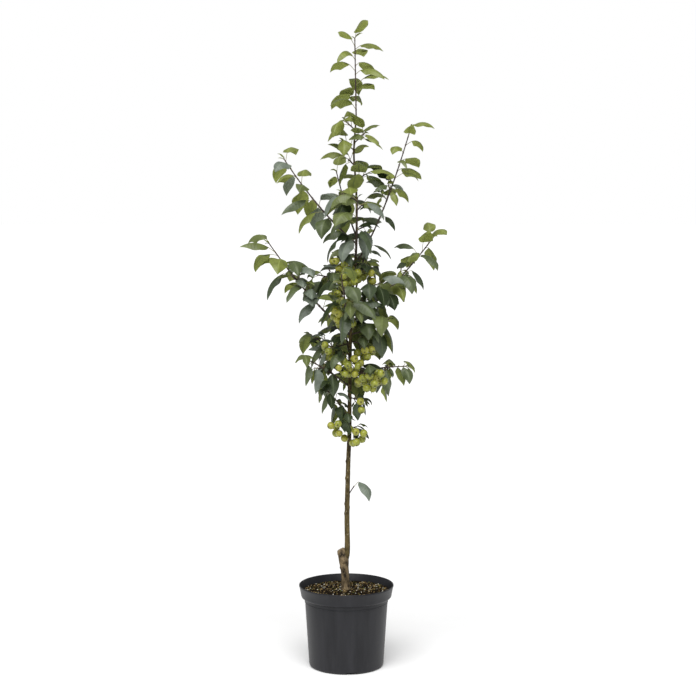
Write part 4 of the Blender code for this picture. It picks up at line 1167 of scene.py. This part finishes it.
def leaf_look(name, upper, rib, under, gloss):
    """Finishes of one shade of leaf: its upper side, its midrib and its under side."""
    sides = (
        ("_upper", upper, 0.78, 1.18, 55, (0.40, 0.56), (280, 0.00022), gloss),
        ("_rib", rib, 0.9, 1.1, 90, (0.5, 0.6), (900, 0.0001), 0.30),
        ("_under", under, 0.88, 1.1, 70, (0.7, 0.85), (200, 0.00014), 0.25),
    )
    return [
        noise_surface(name + side, [c * dark for c in colour], [c * light for c in colour], *rest)
        for side, colour, dark, light, *rest in sides
    ]


def make_looks():
    """Every finish of the plant and its pot."""
    looks = {kind: [noise_surface(*row) for row in rows] for kind, rows in FINISHES.items()}
    looks["leaves"] = [leaf_look(*row) for row in LEAF_SHADES]
    looks["soil"] = [
        noise_surface(name, dark, light, grain, (0.8, 1.0), (900, depth), 0.06)
        for name, dark, light, grain, depth in COMPOST_FINISHES
    ]
    for finish in looks["fruits"][:2]:
        shader = finish.node_tree.nodes["Principled BSDF"].inputs
        shader["Sheen Weight"].default_value = BLOOM
        shader["Sheen Roughness"].default_value = 0.32
    return looks


def set_stage():
    """White studio seen as plain white but lighting softly, a wide key, pale floor and camera."""
    scene = bpy.context.scene
    scene.view_settings.view_transform = "Standard"
    scene.world = bpy.data.worlds.new("studio")
    scene.world.use_nodes = True
    tree = scene.world.node_tree
    seen = new_node(tree, "LightPath").outputs["Is Camera Ray"]
    strength = new_node(tree, "MapRange", seen, To_Min=AMBIENT, To_Max=1.0)
    glow = tree.nodes["Background"].inputs
    glow["Color"].default_value = (1, 1, 1, 1)
    tree.links.new(strength.outputs["Result"], glow["Strength"])
    floor = Batch()
    half = FLOOR_WIDTH / 2
    corners = [(half * x, half * y, 0) for x, y in ((-1, -1), (1, -1), (1, 1), (-1, 1))]
    floor.add(corners, [(0, 1, 2, 3)], 0)
    add_form("floor", floor, [noise_surface(*FLOOR_FINISH)])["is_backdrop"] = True
    key = bpy.data.lights.new("key", "SUN")
    key.energy = KEY_STRENGTH
    key.angle = KEY_ANGLE
    lamp = add_object("key", key)
    lamp.rotation_euler = Vector(KEY_WAY).to_track_quat("-Z", "Y").to_euler()
    camera = bpy.data.cameras.new("camera")
    camera.sensor_width = 36.0
    camera.lens = CAMERA_FOCAL_PIXELS * 36.0 / PHOTO_WIDTH
    eye = add_object("camera", camera)
    eye.location = CAMERA_PLACE
    eye.rotation_euler = (radians(90) - CAMERA_PITCH, 0, 0)
    scene.camera = eye


set_stage()
looks = make_looks()
build_pot(looks["pot"])
build_soil(looks["soil"])
build_trunk(looks["trunk"])
build_crown(looks)
dressed_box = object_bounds()
[[list(corner) for corner in box] for box in (cad_box, dressed_box)]
